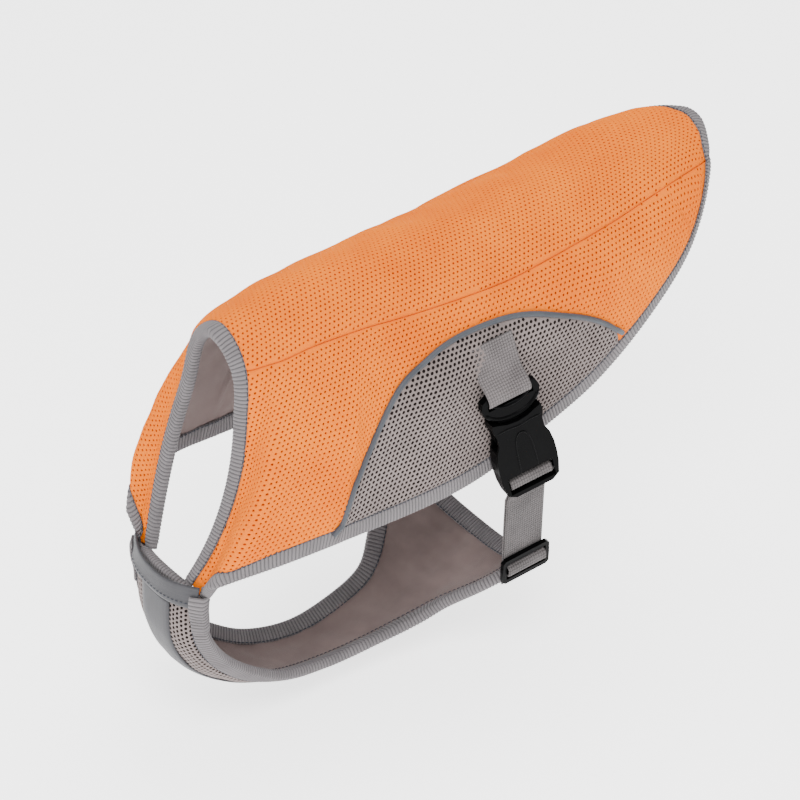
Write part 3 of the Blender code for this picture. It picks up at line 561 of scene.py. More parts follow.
def triangulated(places, edge_count):
    """Triangles between places, of which the first ones are the closed outline.

    Gives the new places, the triangles, the new number of each old place, and the first old
    number of each new one.
    """
    edges = [(k, (k + 1) % edge_count) for k in range(edge_count)]
    found = delaunay_2d_cdt([Vector(p) for p in places], edges, [], 1, 1e-5)
    number = np.full(len(places), -1)
    for k, ids in enumerate(found[3]):
        for i in ids:
            number[i] = k
    source = np.array([ids[0] if ids else -1 for ids in found[3]])
    return np.array([tuple(p) for p in found[0]]), np.array(found[2]), number, source


def mesh_panel(name, surface, outline, materials, seed, node, hole=FINE_HOLE):
    """One air-mesh panel: a closed sheet whose top has rows of real holes."""
    centres = hole_centres(outline)
    angles = np.arange(HOLE_SIDES) * 2 * math.pi / HOLE_SIDES + 0.2
    c, s = math.cos(HOLE_TILT), math.sin(HOLE_TILT)
    draw = np.random.default_rng(seed)
    loose = 1.0 if hole == FINE_HOLE else 0.5
    size = 1 + loose * draw.uniform(-0.1, 0.1, len(centres))
    centres = centres + loose * draw.uniform(-0.12, 0.12, centres.shape)

    def ring(scale, grow):
        """Places around every hole, at a share of its size."""
        local = np.stack(((hole[0] * scale + grow) * np.cos(angles),
                          (hole[1] * scale + grow) * np.sin(angles)), -1)
        local = local @ np.array(((c, s), (-s, c)))
        return (centres[:, None, :] + local[None] * size[:, None, None]).reshape(-1, 2)

    # the top, with points around each hole, near the edge and under the tape
    rims = ring(1.0, 0.20)
    extra = []
    for inset, every in ((0.45, 1), (1.1, 2)):
        line = outline.loop + outline.inward * inset
        gap, _ = distances(line, outline.loop)
        extra.append(line[(gap > inset * 0.85) & inside(line, outline.loop)][::every])
    grid = inner_grid(outline, 3.1)
    gap, _ = distances(grid, outline.loop)
    to_tape, at_tape = outline.reach(grid, "tape")
    extra.append(grid[(gap > 1.6) & (to_tape < outline.widths[at_tape] + 0.2)])
    extra = np.concatenate(extra)
    extra = extra[distances(extra, centres)[0] > 1.25]
    edge_count = len(outline.loop)
    first_rim = edge_count + len(extra)
    new, faces, number, source = triangulated(np.concatenate((outline.loop, extra, rims)),
                                              edge_count)
    owners = np.where(source >= first_rim, (source - first_rim) // HOLE_SIDES, -1)[faces]
    faces = faces[(owners[:, 0] < 0) | (owners != owners[:, :1]).any(1)]

    # the holes' walls and floors; the deeper walls and the floors take the second material,
    # painted shade of the pits
    heights = panel_height(outline, new, seed)
    points = [surface.solid(new, heights)]
    flat = [new]
    count = len(new)
    ids = [number[first_rim:].reshape(-1, HOLE_SIDES)]
    rim_heights = heights[ids[0]].ravel()
    walls = []
    for scale, drop in ((1.0, 0.30), (0.8, HOLE_DEPTH)):
        level = ring(scale, 0.0)
        points.append(surface.solid(level, np.maximum(rim_heights - drop, LIFT + 0.2)))
        flat.append(level)
        a, b = ids[-1], count + np.arange(len(level)).reshape(-1, HOLE_SIDES)
        walls += np.stack((a, np.roll(a, -1, axis=1), np.roll(b, -1, axis=1), b),
                          -1).reshape(-1, 4).tolist()
        ids.append(b)
        count += len(level)
    # material 1, the darker one, is painted shade on the deep walls and floors
    marks = [0] * (len(faces) + len(rims)) + [1] * (len(rims) + len(centres))

    # the underside, on the same edge points
    grid = inner_grid(outline, 5.0)
    grid = grid[distances(grid, outline.loop)[0] > 1.5]
    under, under_faces, under_number, _ = triangulated(np.concatenate((outline.loop, grid)),
                                                       edge_count)
    points.append(surface.solid(under, np.full(len(under), LIFT)))
    flat.append(under)
    under_number += count
    rim_walls = [[number[k], under_number[k], under_number[n], number[n]]
                 for k, n in enumerate(np.roll(np.arange(edge_count), -1))
                 if number[k] != number[n]]
    faces = (faces.tolist() + walls + ids[2].tolist()
             + (under_faces[:, (0, 2, 1)] + count).tolist() + rim_walls)
    marks += [0] * (len(faces) - len(marks))
    piece = add_mesh(name, np.concatenate(points), faces, materials, marks,
                     np.concatenate(flat))
    declare(piece, [node])


def lining_sheet(name, surface, seed, node):
    """The knit lining: one closed thin sheet under the whole surface."""
    points, normals, flat = surface.points, surface.normals, surface.flat
    columns, rows = points.shape[:2]
    places = flat.reshape(-1, 2)
    crease = 0.5 * waves(places, seed, 30.0) + 0.4 * waves(places, seed + 5, 11.0)
    crease = crease.reshape(columns, rows)
    edge = ramp(np.minimum(from_ends(columns)[:, None] / 5, from_ends(rows)[None, :] / 6))
    top = points - normals * LIFT
    depth = LIFT + LINING * 0.8 + edge * np.maximum(0.55 + 0.95 * crease, -0.2)
    low = points - normals * depth[..., None]
    keys = {}
    ids = np.zeros((columns, rows), dtype=int)
    order = []
    for a, b in np.ndindex(columns, rows):
        key = tuple(np.round(points[a, b], 3))
        if key not in keys:
            keys[key] = len(keys)
            order.append((a, b))
        ids[a, b] = keys[key]
    a, b = np.array(order).T
    spots = flat[a, b]
    faces = []
    used = set()
    for i, j in np.ndindex(columns - 1, rows - 1):
        ring = [ids[i, j], ids[i + 1, j], ids[i + 1, j + 1], ids[i, j + 1]]
        ring = [v for k, v in enumerate(ring) if v != ring[k - 1]]
        if len(set(ring)) >= 3:
            faces.append(ring)
            used.update(zip(ring, ring[1:] + ring[:1]))
    count = len(order)
    under = [[v + count for v in reversed(f)] for f in faces]
    walls = [[b, a, a + count, b + count]
             for f in faces for a, b in zip(f, f[1:] + f[:1]) if (b, a) not in used]
    piece = add_mesh(name, np.concatenate((top[a, b], low[a, b])), faces + under + walls,
                     [LINING_LOOK], flat=np.concatenate((spots, spots)))
    declare(piece, [node])


def swept(name, rings, material, flat=None):
    """A solid from rings of equal numbers of points, its ends filled."""
    ids = np.arange(len(rings[0]) * len(rings)).reshape(len(rings), -1)
    faces = np.stack((ids[:-1], ids[1:], np.roll(ids[1:], -1, axis=1),
                      np.roll(ids[:-1], -1, axis=1)), -1).reshape(-1, 4).tolist()
    faces += [ids[0].tolist(), ids[-1][::-1].tolist()]
    return add_mesh(name, np.concatenate(rings), faces, [material], flat=flat)


def joined_capsules(name, starts, ends, normals, radius):
    """Many short stitches as one mesh, each a flattened capsule lying on the cloth."""
    points = []
    faces = []
    shape = ((0.0, 0.25), (0.18, 0.8), (0.5, 1.0), (0.82, 0.8), (1.0, 0.25))
    sides = 6
    for start, end, normal in zip(starts, ends, normals):
        across = unit(np.cross(unit(end - start), normal))
        first = len(points)
        for share, wide in shape:
            middle = start + (end - start) * share
            arch = 1 - (2 * share - 1) ** 2
            for k in range(sides):
                angle = 2 * math.pi * k / sides
                points.append(middle + radius * wide * (math.cos(angle) * across
                                                        + (math.sin(angle) * 0.8 + arch * 0.7)
                                                        * normal))
        for a in range(first, len(points) - sides, sides):
            for k in range(sides):
                n = (k + 1) % sides
                faces.append((a + k, a + n, a + sides + n, a + sides + k))
        faces.append(tuple(first + k for k in reversed(range(sides))))
        faces.append(tuple(range(len(points) - sides, len(points))))
    add_mesh(name, points, faces, [THREAD])


def rib(distance, pitch=RIB):
    """Height of the ribs of the tape, from -1 to 1, rounder on top than in the grooves."""
    return 2 * np.abs(np.sin(np.pi * distance / pitch)) ** 0.7 - 1


def tape(name, surface, rim, width, nodes, seed, flip=1, ends=0.0, extra=(0.0, 0.0),
         longer=0.0):
    """Ribbed tape folded over an edge: rim is its line in the flat, inwards on its left.

    It starts and stops the distance ends inside the rim's ends, or runs on past them by the
    distance longer. Extra raises it along its length. Gives what the stitches need.
    """
    total = lengths(rim)[-1]
    step = RIB / 6
    run = np.arange(ends, total - ends, step)
    coarse = along(rim, np.arange(0, total + 2.0, 2.0))
    for _ in range(8):
        coarse[1:-1] = (coarse[:-2] + 2 * coarse[1:-1] + coarse[2:]) / 4
    knots = np.arange(len(coarse)) * 2.0
    line = read(run, knots, coarse)
    ahead = unit(read(run, knots, unit(np.gradient(coarse, axis=0))))
    inward = np.stack((-ahead[:, 1], ahead[:, 0]), -1) * flip
    widths = np.interp(run, np.linspace(0, total, len(width)), width)
    extra = np.interp(np.linspace(0, 1, len(run)), np.linspace(0, 1, len(extra)), extra)
    over = LIFT + PRESSED + 0.12 + extra
    below = -(LIFT + LINING + 0.15) - np.minimum(extra, 1.2)
    lean = 0.10 * waves(np.stack((run, run * 0), -1), seed, 30.0)
    ribs = rib(run) * 0.26
    steps = (0.0, 0.3, 0.62, 0.86, 1.0)
    base = [surface.at(line + inward * (widths * share)[:, None]) for share in steps]
    top = []
    under = []
    for (points, normals), share in zip(base, steps):
        last = share == 1.0
        swell = 0.20 * math.sin(math.pi * min(1.0, share * 1.15)) + lean * 0.5
        thick = TAPE * (0.62 if last else 1.0)
        low_ribs = ribs * (0.4 if last else 1.0)
        top.append(points + normals * (over + thick + swell + low_ribs)[:, None])
        under.append(points + normals * (below - thick - swell - low_ribs)[:, None])
    edge, out = base[0]
    inner = unit(surface.at(line + inward * 2.0)[0] - edge)
    inner = unit(inner - out * (inner * out).sum(1, keepdims=True))
    middle = (over + below) / 2
    half = (over - below) / 2 + TAPE
    fold = []
    for angle in (68, 45, 22, 0, -22, -45, -68):
        a = math.radians(angle)
        reach = TAPE_ROLL + ribs * math.cos(a) + np.minimum(extra, 0.5)
        height = middle + (half + ribs * abs(math.sin(a))) * math.sin(a)
        fold.append(edge - inner * (reach * math.cos(a) ** 0.8)[:, None]
                    + out * height[:, None])
    inside_top = [base[k][0] + base[k][1] * over[:, None] for k in (0, 2, 4)]
    inside_low = [base[k][0] + base[k][1] * below[:, None] for k in (4, 2, 0)]
    rings = np.stack(top[::-1] + fold + under + inside_low + inside_top, axis=1)
    run_out = run
    if longer:
        ahead = np.arange(int(longer / step), 0, -1)[:, None, None] * step
        lead = unit(rings[0].mean(0) - rings[6].mean(0))
        trail = unit(rings[-1].mean(0) - rings[-7].mean(0))
        rings = np.concatenate((rings[:1] + lead * ahead, rings,
                                rings[-1:] + trail * ahead[::-1]))
        run_out = np.concatenate((run[0] - ahead.ravel(), run, run[-1] + ahead[::-1].ravel()))
    around = lengths(rings[len(rings) // 2])
    flat = np.stack(np.broadcast_arrays(run_out[:, None], around[None, :]), -1).reshape(-1, 2)
    declare(swept(name, list(rings), RIBBED, flat), nodes)
    return run, line, inward, widths, surface, float(over[0]) + TAPE * 0.62


def stitches(name, laid, inside_out):
    """A line of stitches along the inner edge of a tape, on its outer or its inner side."""
    run, line, inward, widths, surface, height = laid
    at = np.arange(2.0, run[-1] - run[0] - 2.0, STITCH_PITCH) + run[0]

    def spot(distance):
        """Places on the middle surface under the stitches, and normals."""
        wide = np.interp(distance, run, widths)
        return surface.at(read(distance, run, line)
                          + read(distance, run, inward) * (wide - STITCH_INSET)[:, None])

    one, normal = spot(at)
    two, _ = spot(at + STITCH_LENGTH)
    rise = -(height + 2 * LIFT) if inside_out else height + 0.16
    joined_capsules(name + "_stitches" + ("_inside" if inside_out else ""),
                    one + normal * rise, two + normal * rise, -normal if inside_out else normal,
                    STITCH_RADIUS)


# ------------------------------ materials
class Look:
    """A node material under construction."""

    def __init__(self, name):
        self.material = bpy.data.materials.new(name)
        self.material.use_nodes = True
        self.tree = self.material.node_tree
        self.shader = self.tree.nodes["Principled BSDF"]

    def node(self, kind, **values):
        """A node with its settings."""
        node = self.tree.nodes.new(kind)
        for name, value in values.items():
            setattr(node, name, value)
        return node

    def put(self, socket, value):
        """A constant or a link into a socket."""
        if isinstance(value, bpy.types.NodeSocket):
            self.tree.links.new(value, socket)
        else:
            socket.default_value = value

    def math(self, operation, one, two=0.0, clamp=False):
        """The output of a math node."""
        node = self.node("ShaderNodeMath", operation=operation, use_clamp=clamp)
        self.put(node.inputs[0], one)
        self.put(node.inputs[1], two)
        return node.outputs[0]

    def weighed(self, one, share, two, other, clamp=False):
        """The sum of two values, each times its share."""
        return self.math("ADD", self.math("MULTIPLY", one, share),
                         self.math("MULTIPLY", two, other), clamp)

    def wave(self, coordinate, length):
        """A sine wave of a length in millimetres."""
        return self.math("SINE", self.math("MULTIPLY", coordinate, 2 * math.pi / (length * MM)))

    def ridge(self, coordinate, pitch, power):
        """Rounded ridges across a coordinate, from 0 to 1."""
        return self.math("POWER", self.math("ABSOLUTE", self.wave(coordinate, 2 * pitch)), power)

    def place(self):
        """Places on the object, in metres."""
        return self.node("ShaderNodeTexCoord").outputs["Object"]

    def cloth(self):
        """Places on the cut cloth in metres: both ways together, along, and across."""
        places = self.node("ShaderNodeUVMap", uv_map="cloth").outputs[0]
        split = self.node("ShaderNodeSeparateXYZ")
        self.put(split.inputs[0], places)
        return places, split.outputs[0], split.outputs[1]

    def noise(self, vector, scale, detail=3.0, roughness=0.5):
        """A noise texture's value."""
        node = self.node("ShaderNodeTexNoise")
        self.put(node.inputs["Vector"], vector)
        for name, value in (("Scale", scale), ("Detail", detail), ("Roughness", roughness)):
            node.inputs[name].default_value = value
        return node.outputs["Fac"]

    def remap(self, value, low, high, to_low=0.0, to_high=1.0):
        """A value brought from one range to another."""
        node = self.node("ShaderNodeMapRange")
        self.put(node.inputs["Value"], value)
        for name, limit in (("From Min", low), ("From Max", high), ("To Min", to_low),
                            ("To Max", to_high)):
            node.inputs[name].default_value = limit
        return node.outputs["Result"]

    def mix(self, share, one, two):
        """Two colours mixed."""
        node = self.node("ShaderNodeMix", data_type="RGBA")
        self.put(node.inputs["Factor"], share)
        for socket, colour in ((6, one), (7, two)):
            self.put(node.inputs[socket],
                     (*colour, 1.0) if isinstance(colour, tuple) else colour)
        return node.outputs[2]

    def bump(self, height, distance, strength=1.0):
        """Bump from a height in units of the distance."""
        node = self.node("ShaderNodeBump")
        self.put(node.inputs["Height"], height)
        node.inputs["Distance"].default_value = distance
        node.inputs["Strength"].default_value = strength
        self.put(self.shader.inputs["Normal"], node.outputs["Normal"])

    def finish(self, colour, roughness, sheen, specular):
        """The surface's colour, roughness, sheen and gloss."""
        self.put(self.shader.inputs["Base Color"],
                 (*colour, 1.0) if isinstance(colour, tuple) else colour)
        self.put(self.shader.inputs["Roughness"], roughness)
        self.shader.inputs["Sheen Weight"].default_value = sheen
        self.shader.inputs["Sheen Roughness"].default_value = 0.45
        self.shader.inputs["Specular IOR Level"].default_value = specular
        return self.material


def knit_look(name, dark, light, pitch, rough, sheen, depth, patch, specular):
    """A knitted cloth: fine courses with loops, and soft changes of tone, partly painted shade in
    the dips between the loops.
    """
    look = Look(name)
    _, u, v = look.cloth()
    place = look.place()
    shifted = look.math("ADD", u, look.math("MULTIPLY", look.wave(v, pitch), 0.22 * pitch * MM))
    grain = look.noise(place, 5200.0, 2.0, 0.6)
    height = look.math("ADD", look.math("MULTIPLY", look.ridge(shifted, pitch, 0.7),
                                        look.ridge(v, pitch, 0.7)),
                       look.math("MULTIPLY", grain, 0.5))
    # tone: random patches, and painted shade where the loops dip, from the bump's height
    tone = look.weighed(look.remap(look.noise(place, patch, 4.0, 0.6), 0.30, 0.70), 0.6,
                        look.remap(height, 0.1, 1.3), 0.4, True)
    look.bump(height, depth)
    return look.finish(look.mix(tone, dark, light),
                       look.remap(grain, 0.3, 0.7, rough - 0.06, rough + 0.06), sheen, specular)


def ribbed_look(name, groove_shade, dark, light, rough, sheen):
    """Knitted tape whose ribs run across it, with painted shade darkening the grooves."""
    look = Look(name)
    _, u, v = look.cloth()
    place = look.place()
    ribs = look.ridge(u, RIB, 0.8)
    grain = look.noise(place, 4200.0, 2.0, 0.6)
    fine = look.math("ADD", look.ridge(v, 0.5, 0.8), grain)
    tone = look.weighed(look.remap(look.noise(place, 70.0), 0.3, 0.7), 0.5,
                        look.remap(grain, 0.3, 0.7), 0.5, True)
    # the grooves between the ribs take the darker colour: painted shade
    colour = look.mix(look.remap(ribs, 0.15, 0.75), groove_shade, look.mix(tone, dark, light))
    look.bump(look.weighed(ribs, 1.0, fine, 0.25), 0.00025)
    return look.finish(colour, rough, sheen, 0.1)


def woven_look(name, dark, light):
    """A plain weave of warp and weft, one over the other in turn, with painted shade where the
    threads dip.
    """
    look = Look(name)
    _, u, v = look.cloth()
    place = look.place()
    turn = look.remap(look.math("MULTIPLY", look.wave(u, 2 * WEFT), look.wave(v, 2 * WARP)),
                      -0.25, 0.25)
    high = look.math("ADD", look.math("MULTIPLY", turn, look.ridge(v, WARP, 0.8)),
                     look.math("MULTIPLY", look.math("SUBTRACT", 1.0, turn),
                               look.ridge(u, WEFT, 0.8)))
    height = look.math("ADD", high, look.math("MULTIPLY", look.noise(place, 6000.0, 2.0, 0.6),
                                              0.35))
    # tone: mostly painted shade, darker where the threads lie low, with a little random tone
    tone = look.weighed(look.remap(height, 0.3, 1.25), 0.75,
                        look.remap(look.noise(place, 60.0), 0.35, 0.65), 0.25, True)
    look.bump(height, 0.0004)
    return look.finish(look.mix(tone, dark, light), 0.75, 0.05, 0.1)


def plastic_look(name, colour):
    """Moulded black plastic with a fine grain."""
    look = Look(name)
    place = look.place()
    cloud = look.noise(place, 90.0, 4.0, 0.6)
    look.bump(look.math("ADD", look.noise(place, 3400.0, 3.0, 0.6),
                        look.math("MULTIPLY", cloud, 0.4)), 0.00003, 0.7)
    tint = look.mix(look.remap(cloud, 0.35, 0.7), colour, tuple(1.5 * c for c in colour))
    return look.finish(tint, look.remap(cloud, 0.3, 0.7, 0.24, 0.36), 0.0, 0.03)


def smooth_look(name, dark, light, streak=0.0):
    """Smooth coated cloth with faint streaks along it."""
    look = Look(name)
    places, u, _ = look.cloth()
    place = look.place()
    stretch = look.node("ShaderNodeMapping")
    look.put(stretch.inputs["Vector"], places)
    stretch.inputs["Scale"].default_value = (900.0, 40.0, 1.0)
    lines = look.node("ShaderNodeTexNoise")
    look.put(lines.inputs["Vector"], stretch.outputs[0])
    lines.inputs["Scale"].default_value = 1.0
    tone = look.weighed(look.remap(lines.outputs["Fac"], 0.3, 0.7), 0.2 + streak,
                        look.remap(look.noise(place, 45.0), 0.3, 0.7), 0.6, True)
    look.bump(look.weighed(look.ridge(u, 0.42, 0.8), 0.5, look.noise(place, 2600.0), 0.6),
              0.00006)
    return look.finish(look.mix(tone, dark, light), 0.55, 0.05, 0.22)


ORANGE = knit_look("orange_mesh_cloth", (0.60, 0.102, 0.0), (0.76, 0.180, 0.0), 0.75, 0.8,
                   0.0, 0.00010, 26.0, 0.02)
# walls and floors deep in the orange holes: the inner layer's orange, darkened as painted shade of
# the pits
ORANGE_PIT_SHADED = knit_look("orange_mesh_inside_pit_shade", (0.36, 0.034, 0.0), (0.47, 0.056, 0.0), 0.75,
                        0.9, 0.0, 0.00005, 26.0, 0.0)
GRAY = knit_look("gray_mesh_cloth", (0.115, 0.092, 0.087), (0.205, 0.170, 0.162), 0.75, 0.75,
                 0.1, 0.00010, 26.0, 0.1)
# walls and floors deep in the gray holes: the inner layer's darker gray, deepened to near black as
# painted shade of the pits
GRAY_PIT_SHADED = knit_look("gray_mesh_inside_pit_shade", (0.012, 0.009, 0.0085), (0.025, 0.020, 0.018), 0.75,
                      0.9, 0.0, 0.00005, 26.0, 0.0)
LINING_LOOK = knit_look("lining_cloth", (0.110, 0.080, 0.076), (0.185, 0.140, 0.132), 0.55, 0.8,
                        0.1, 0.00009, 34.0, 0.1)
# the first colour is painted shade for the grooves between the ribs
RIBBED = ribbed_look("ribbed_tape_cloth", (0.068, 0.063, 0.066), (0.105, 0.096, 0.099),
                     (0.160, 0.146, 0.151), 0.75, 0.1)
PIPING_LOOK = smooth_look("piping_cloth", (0.028, 0.031, 0.038), (0.058, 0.063, 0.073))
BAND_LOOK = smooth_look("band_cloth", (0.027, 0.0265, 0.030), (0.050, 0.049, 0.053), 0.2)
# the lower webbing: the same webbing as the upper one, its colours darkened as painted shade
WOVEN_SHADED_COPY = woven_look("webbing_cloth_low_painted_shade", (0.021, 0.020, 0.020), (0.112, 0.101, 0.101))
WOVEN = woven_look("webbing_cloth", (0.030, 0.027, 0.027), (0.150, 0.134, 0.134))
THREAD = knit_look("thread", (0.022, 0.025, 0.032), (0.050, 0.054, 0.066), 0.3, 0.7, 0.0,
                   0.00003, 26.0, 0.1)
PLASTIC = plastic_look("buckle_plastic", (0.0010, 0.0010, 0.0011))


# ------------------------------ the vest
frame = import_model()
CAD_BOX = [[float(v) for v in corner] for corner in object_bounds()]

def summed(steps, axis):
    """Sums of the steps along an axis, from zero on."""
    start = np.zeros_like(steps[:1] if axis == 0 else steps[:, :1])
    return np.concatenate((start, np.cumsum(steps, axis=axis)), axis=axis)


def place_of(section):
    """The shell's column at a section."""
    return int(np.argmin(np.abs(SHELL_PLACES - section)))


shell_points = shell_lattice()
rows = shell_points.shape[1] - 1
middle = rows // 2
across = summed(np.linalg.norm(np.diff(shell_points[:, :, 1:], axis=1), axis=-1), 1)
across -= across[:, middle:middle + 1]
lengthwise = summed(np.linalg.norm(np.diff(shell_points, axis=0), axis=-1), 0)
reference = place_of(4.0)
lengthwise += shell_points[reference, :, 0] - lengthwise[reference]
SHELL = Surface(shell_points, (shell_points + (0.0, 0.0, 60.0)) * (0, 1, 1),
                np.stack((lengthwise, across), -1))
flat = SHELL.flat
seam_low, seam_high = middle - BACK_CELLS, middle + BACK_CELLS
first, final, hem_first = place_of(FLANK_FIRST), place_of(FLANK_LAST), place_of(2.0)
neck_tape = NECK_TAPE - 0.8
hem_tape = HEM_TAPE - 0.8

outline = Outline([
    ("tape", flat[0, seam_low:seam_high + 1], neck_tape),
    ("seam", flat[:, seam_high], 0.0),
    ("tape", flat[-1, seam_high:seam_low - 1:-1], hem_tape - 4.0),
    ("seam", flat[::-1, seam_low], 0.0)])
mesh_panel("back_mesh", SHELL, outline, [ORANGE, ORANGE_PIT_SHADED], 11, "back_center")
for side, hem, cord_row, seam, step, seed in (
        ("left", 0, FLANK_CELLS, seam_low, -1, 31),
        ("right", rows, rows - FLANK_CELLS, seam_high, 1, 21)):
    down = np.arange(cord_row, hem + step, step)
    front = ("cord", flat[first, down[::-1]], 0.0)
    top = ("cord", flat[first:final + 1, cord_row], 0.0)
    rear = ("cord", flat[final, down], 0.0)
    outline = Outline([
        ("tape", flat[0, np.arange(seam, hem + step, step)], neck_tape),
        ("tape", flat[:first + 1, hem], hem_tape * 0.9), front, top, rear,
        ("tape", flat[final:, hem], hem_tape),
        ("seam", flat[::-1, seam], 0.0)])
    mesh_panel("side_mesh_" + side, SHELL, outline, [ORANGE, ORANGE_PIT_SHADED], seed, "side_" + side)
    outline = Outline([top, rear, ("tape", flat[final:first - 1:-1, hem], hem_tape), front])
    mesh_panel("flank_mesh_" + side, SHELL, outline, [GRAY, GRAY_PIT_SHADED], seed + 20,
               "flank_" + side, COARSE_HOLE)
lining_sheet("back_lining_cloth", SHELL, 61, "back_lining")

# ------------------------------ tapes of the shell
hem_line = np.concatenate((flat[hem_first:, 0], flat[-1, seam_low + 1:seam_high],
                           flat[hem_first:, rows][::-1]))
neck_line = flat[0]


def tape_widths(line, full, narrow, other, grow=0.075):
    """Widths along a rim: narrow at its ends, and never past half way to the other rim."""
    dense = evenly(line, lengths(line)[-1] / 240)
    run = lengths(dense)
    width = np.minimum(full, narrow + grow * np.minimum(run, run[-1] - run))
    gap, _ = distances(dense, evenly(other, 1.0))
    return np.minimum(width, np.maximum(gap / 2 - 0.4, 2.5))


hem_widths = tape_widths(hem_line, HEM_TAPE, LIMB_TAPE, neck_line)
hem_widths -= 4.2 * np.interp(np.linspace(0, 1, len(hem_widths)),
                              (0, 0.38, 0.47, 0.53, 0.62, 1), (0, 0, 1, 1, 0, 0))
hem_laid = tape("hem_tape", SHELL, hem_line, hem_widths, ["hem_binding"], 71)
neck_laid = tape("neck_tape", SHELL, neck_line,
                 tape_widths(neck_line, NECK_TAPE, 4.6, hem_line, 0.03), ["neck_binding"], 72, -1,
                 longer=3.0)
for inside_out in (False, True):
    stitches("hem", hem_laid, inside_out)
    stitches("neck", neck_laid, inside_out)

for side, row in (("left", FLANK_CELLS), ("right", rows - FLANK_CELLS)):
    line = evenly(flat[first:final + 1, row], 0.8)[1:-1]
    for _ in range(4):
        line[1:-1] = (line[:-2] + 2 * line[1:-1] + line[2:]) / 4
    points, normals = SHELL.at(line)
    points = np.concatenate((points[:1] + PIPING_END * unit(points[:1] - points[2:3]), points,
                             points[-1:] + PIPING_END * unit(points[-1:] - points[-3:-2])))
    normals = np.concatenate((normals[:1], normals, normals[-1:]))
    ahead = unit(np.gradient(points, axis=0))
    right = unit(np.cross(ahead, normals))
    out = np.cross(right, ahead)
    out = out * np.sign((out * normals).sum(1, keepdims=True))
    angles = np.arange(16) * 2 * math.pi / 16
    rings = [points + out * (PIPING_HEIGHT + PIPING_RADIUS * math.sin(angle))
             + right * PIPING_RADIUS * math.cos(angle) for angle in angles]
    uv = np.stack(np.broadcast_arrays(angles[None, :] * PIPING_RADIUS,
                                      lengths(points)[:, None]), -1).reshape(-1, 2)
    declare(swept("piping_" + side, list(np.stack(rings, axis=1)), PIPING_LOOK, uv),
            ["flank_piping_" + side])

# ------------------------------ the chest
chest_points = chest_lattice()
chest_middle = chest_points.shape[1] // 2
down_run = lengths(chest_points[:, chest_middle])
across = summed(np.linalg.norm(np.diff(chest_points, axis=1), axis=-1), 1)
across = across[:, chest_middle:chest_middle + 1] - across
CHEST_CLOTH = Surface(chest_points, chest_points - np.array((60.0, 0.0, -120.0)),
                      np.stack(np.broadcast_arrays(down_run[:, None], across), -1))
chest_flat = CHEST_CLOTH.flat
outline = Outline([("tape", edge, CHEST_TAPE - 1.0)
                   for edge in (chest_flat[0], chest_flat[:, -1], chest_flat[-1, ::-1],
                                chest_flat[::-1, 0])])
mesh_panel("chest_mesh", CHEST_CLOTH, outline, [GRAY, GRAY_PIT_SHADED], 81, "chest_panel",
           COARSE_HOLE)
lining_sheet("chest_lining_cloth", CHEST_CLOTH, 91, "chest_lining")
even = np.full(60, CHEST_TAPE)
growing = np.interp(np.linspace(0, 1, 60), (0, 0.42, 1),
                    (CHEST_TAPE - 2.5, CHEST_TAPE, CHEST_TAPE))
for name, line, width, node, seed, flip, ends in (
        ("chest_tape_left", chest_flat[:, -1], growing, "chest_binding_left", 101, 1, 0.0),
        ("chest_tape_right", chest_flat[:, 0], growing, "chest_binding_right", 102, -1, 0.0),
        ("chest_neck_tape", chest_flat[0], even, "chest_neck_binding", 103, 1, 10.5),
        ("belly_tape", chest_flat[-1], even, "belly_binding", 104, -1, 10.5)):
    laid = tape(name, CHEST_CLOTH, line, width, [node], seed, flip, ends)
    for inside_out in (False, True):
        stitches(name, laid, inside_out)


def node_tree(*names):
    """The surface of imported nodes, in millimetres of the tables."""
    vertices = []
    faces = []
    for name in names:
        mesh = frame["nodes"][name].data
        start = len(vertices)
        vertices += [tuple(np.array(v.co) / MM + ORIGIN) for v in mesh.vertices]
        faces += [[start + k for k in p.vertices] for p in mesh.polygons]
    return BVHTree.FromPolygons(vertices, faces)


def laid_strip(name, node, places, outs, thickness, uv):
    """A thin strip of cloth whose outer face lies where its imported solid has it."""
    tree = node_tree(node)
    grid = np.zeros(places.shape)
    for index in np.ndindex(places.shape[:2]):
        place, out = places[index], outs[index]
        hit = tree.ray_cast(Vector(place + out * 20), Vector(-out), 40.0)
        grid[index] = hit[0] if hit[0] is not None else (np.nan, np.nan, np.nan)
    height = ((grid - places) * outs).sum(-1)
    known = np.isfinite(height)
    for k in np.flatnonzero(~known.all(axis=1)):
        full = np.flatnonzero(known.sum(axis=1) > 2)
        near = full[np.argmin(np.abs(full - k))]
        fill = np.interp(np.arange(height.shape[1]), np.flatnonzero(known[near]),
                         height[near][known[near]])
        height[k] = np.where(known[k], height[k], fill)
    for _ in range(6):
        height[1:-1] = (height[:-2] + 2 * height[1:-1] + height[2:]) / 4
    outer = places + outs * height[..., None]
    edge = ramp(from_ends(places.shape[1]) / 1.5)
    outer = outer - outs * (0.35 * (1 - edge))[None, :, None]
    inner = outer - outs * thickness
    rings = [np.concatenate((outer[k], inner[k][::-1])) for k in range(len(outer))]
    coordinates = np.concatenate((uv, uv[:, ::-1]), axis=1).reshape(-1, 2)
    declare(swept(name, rings, BAND_LOOK, coordinates), [node])
    return outer, height


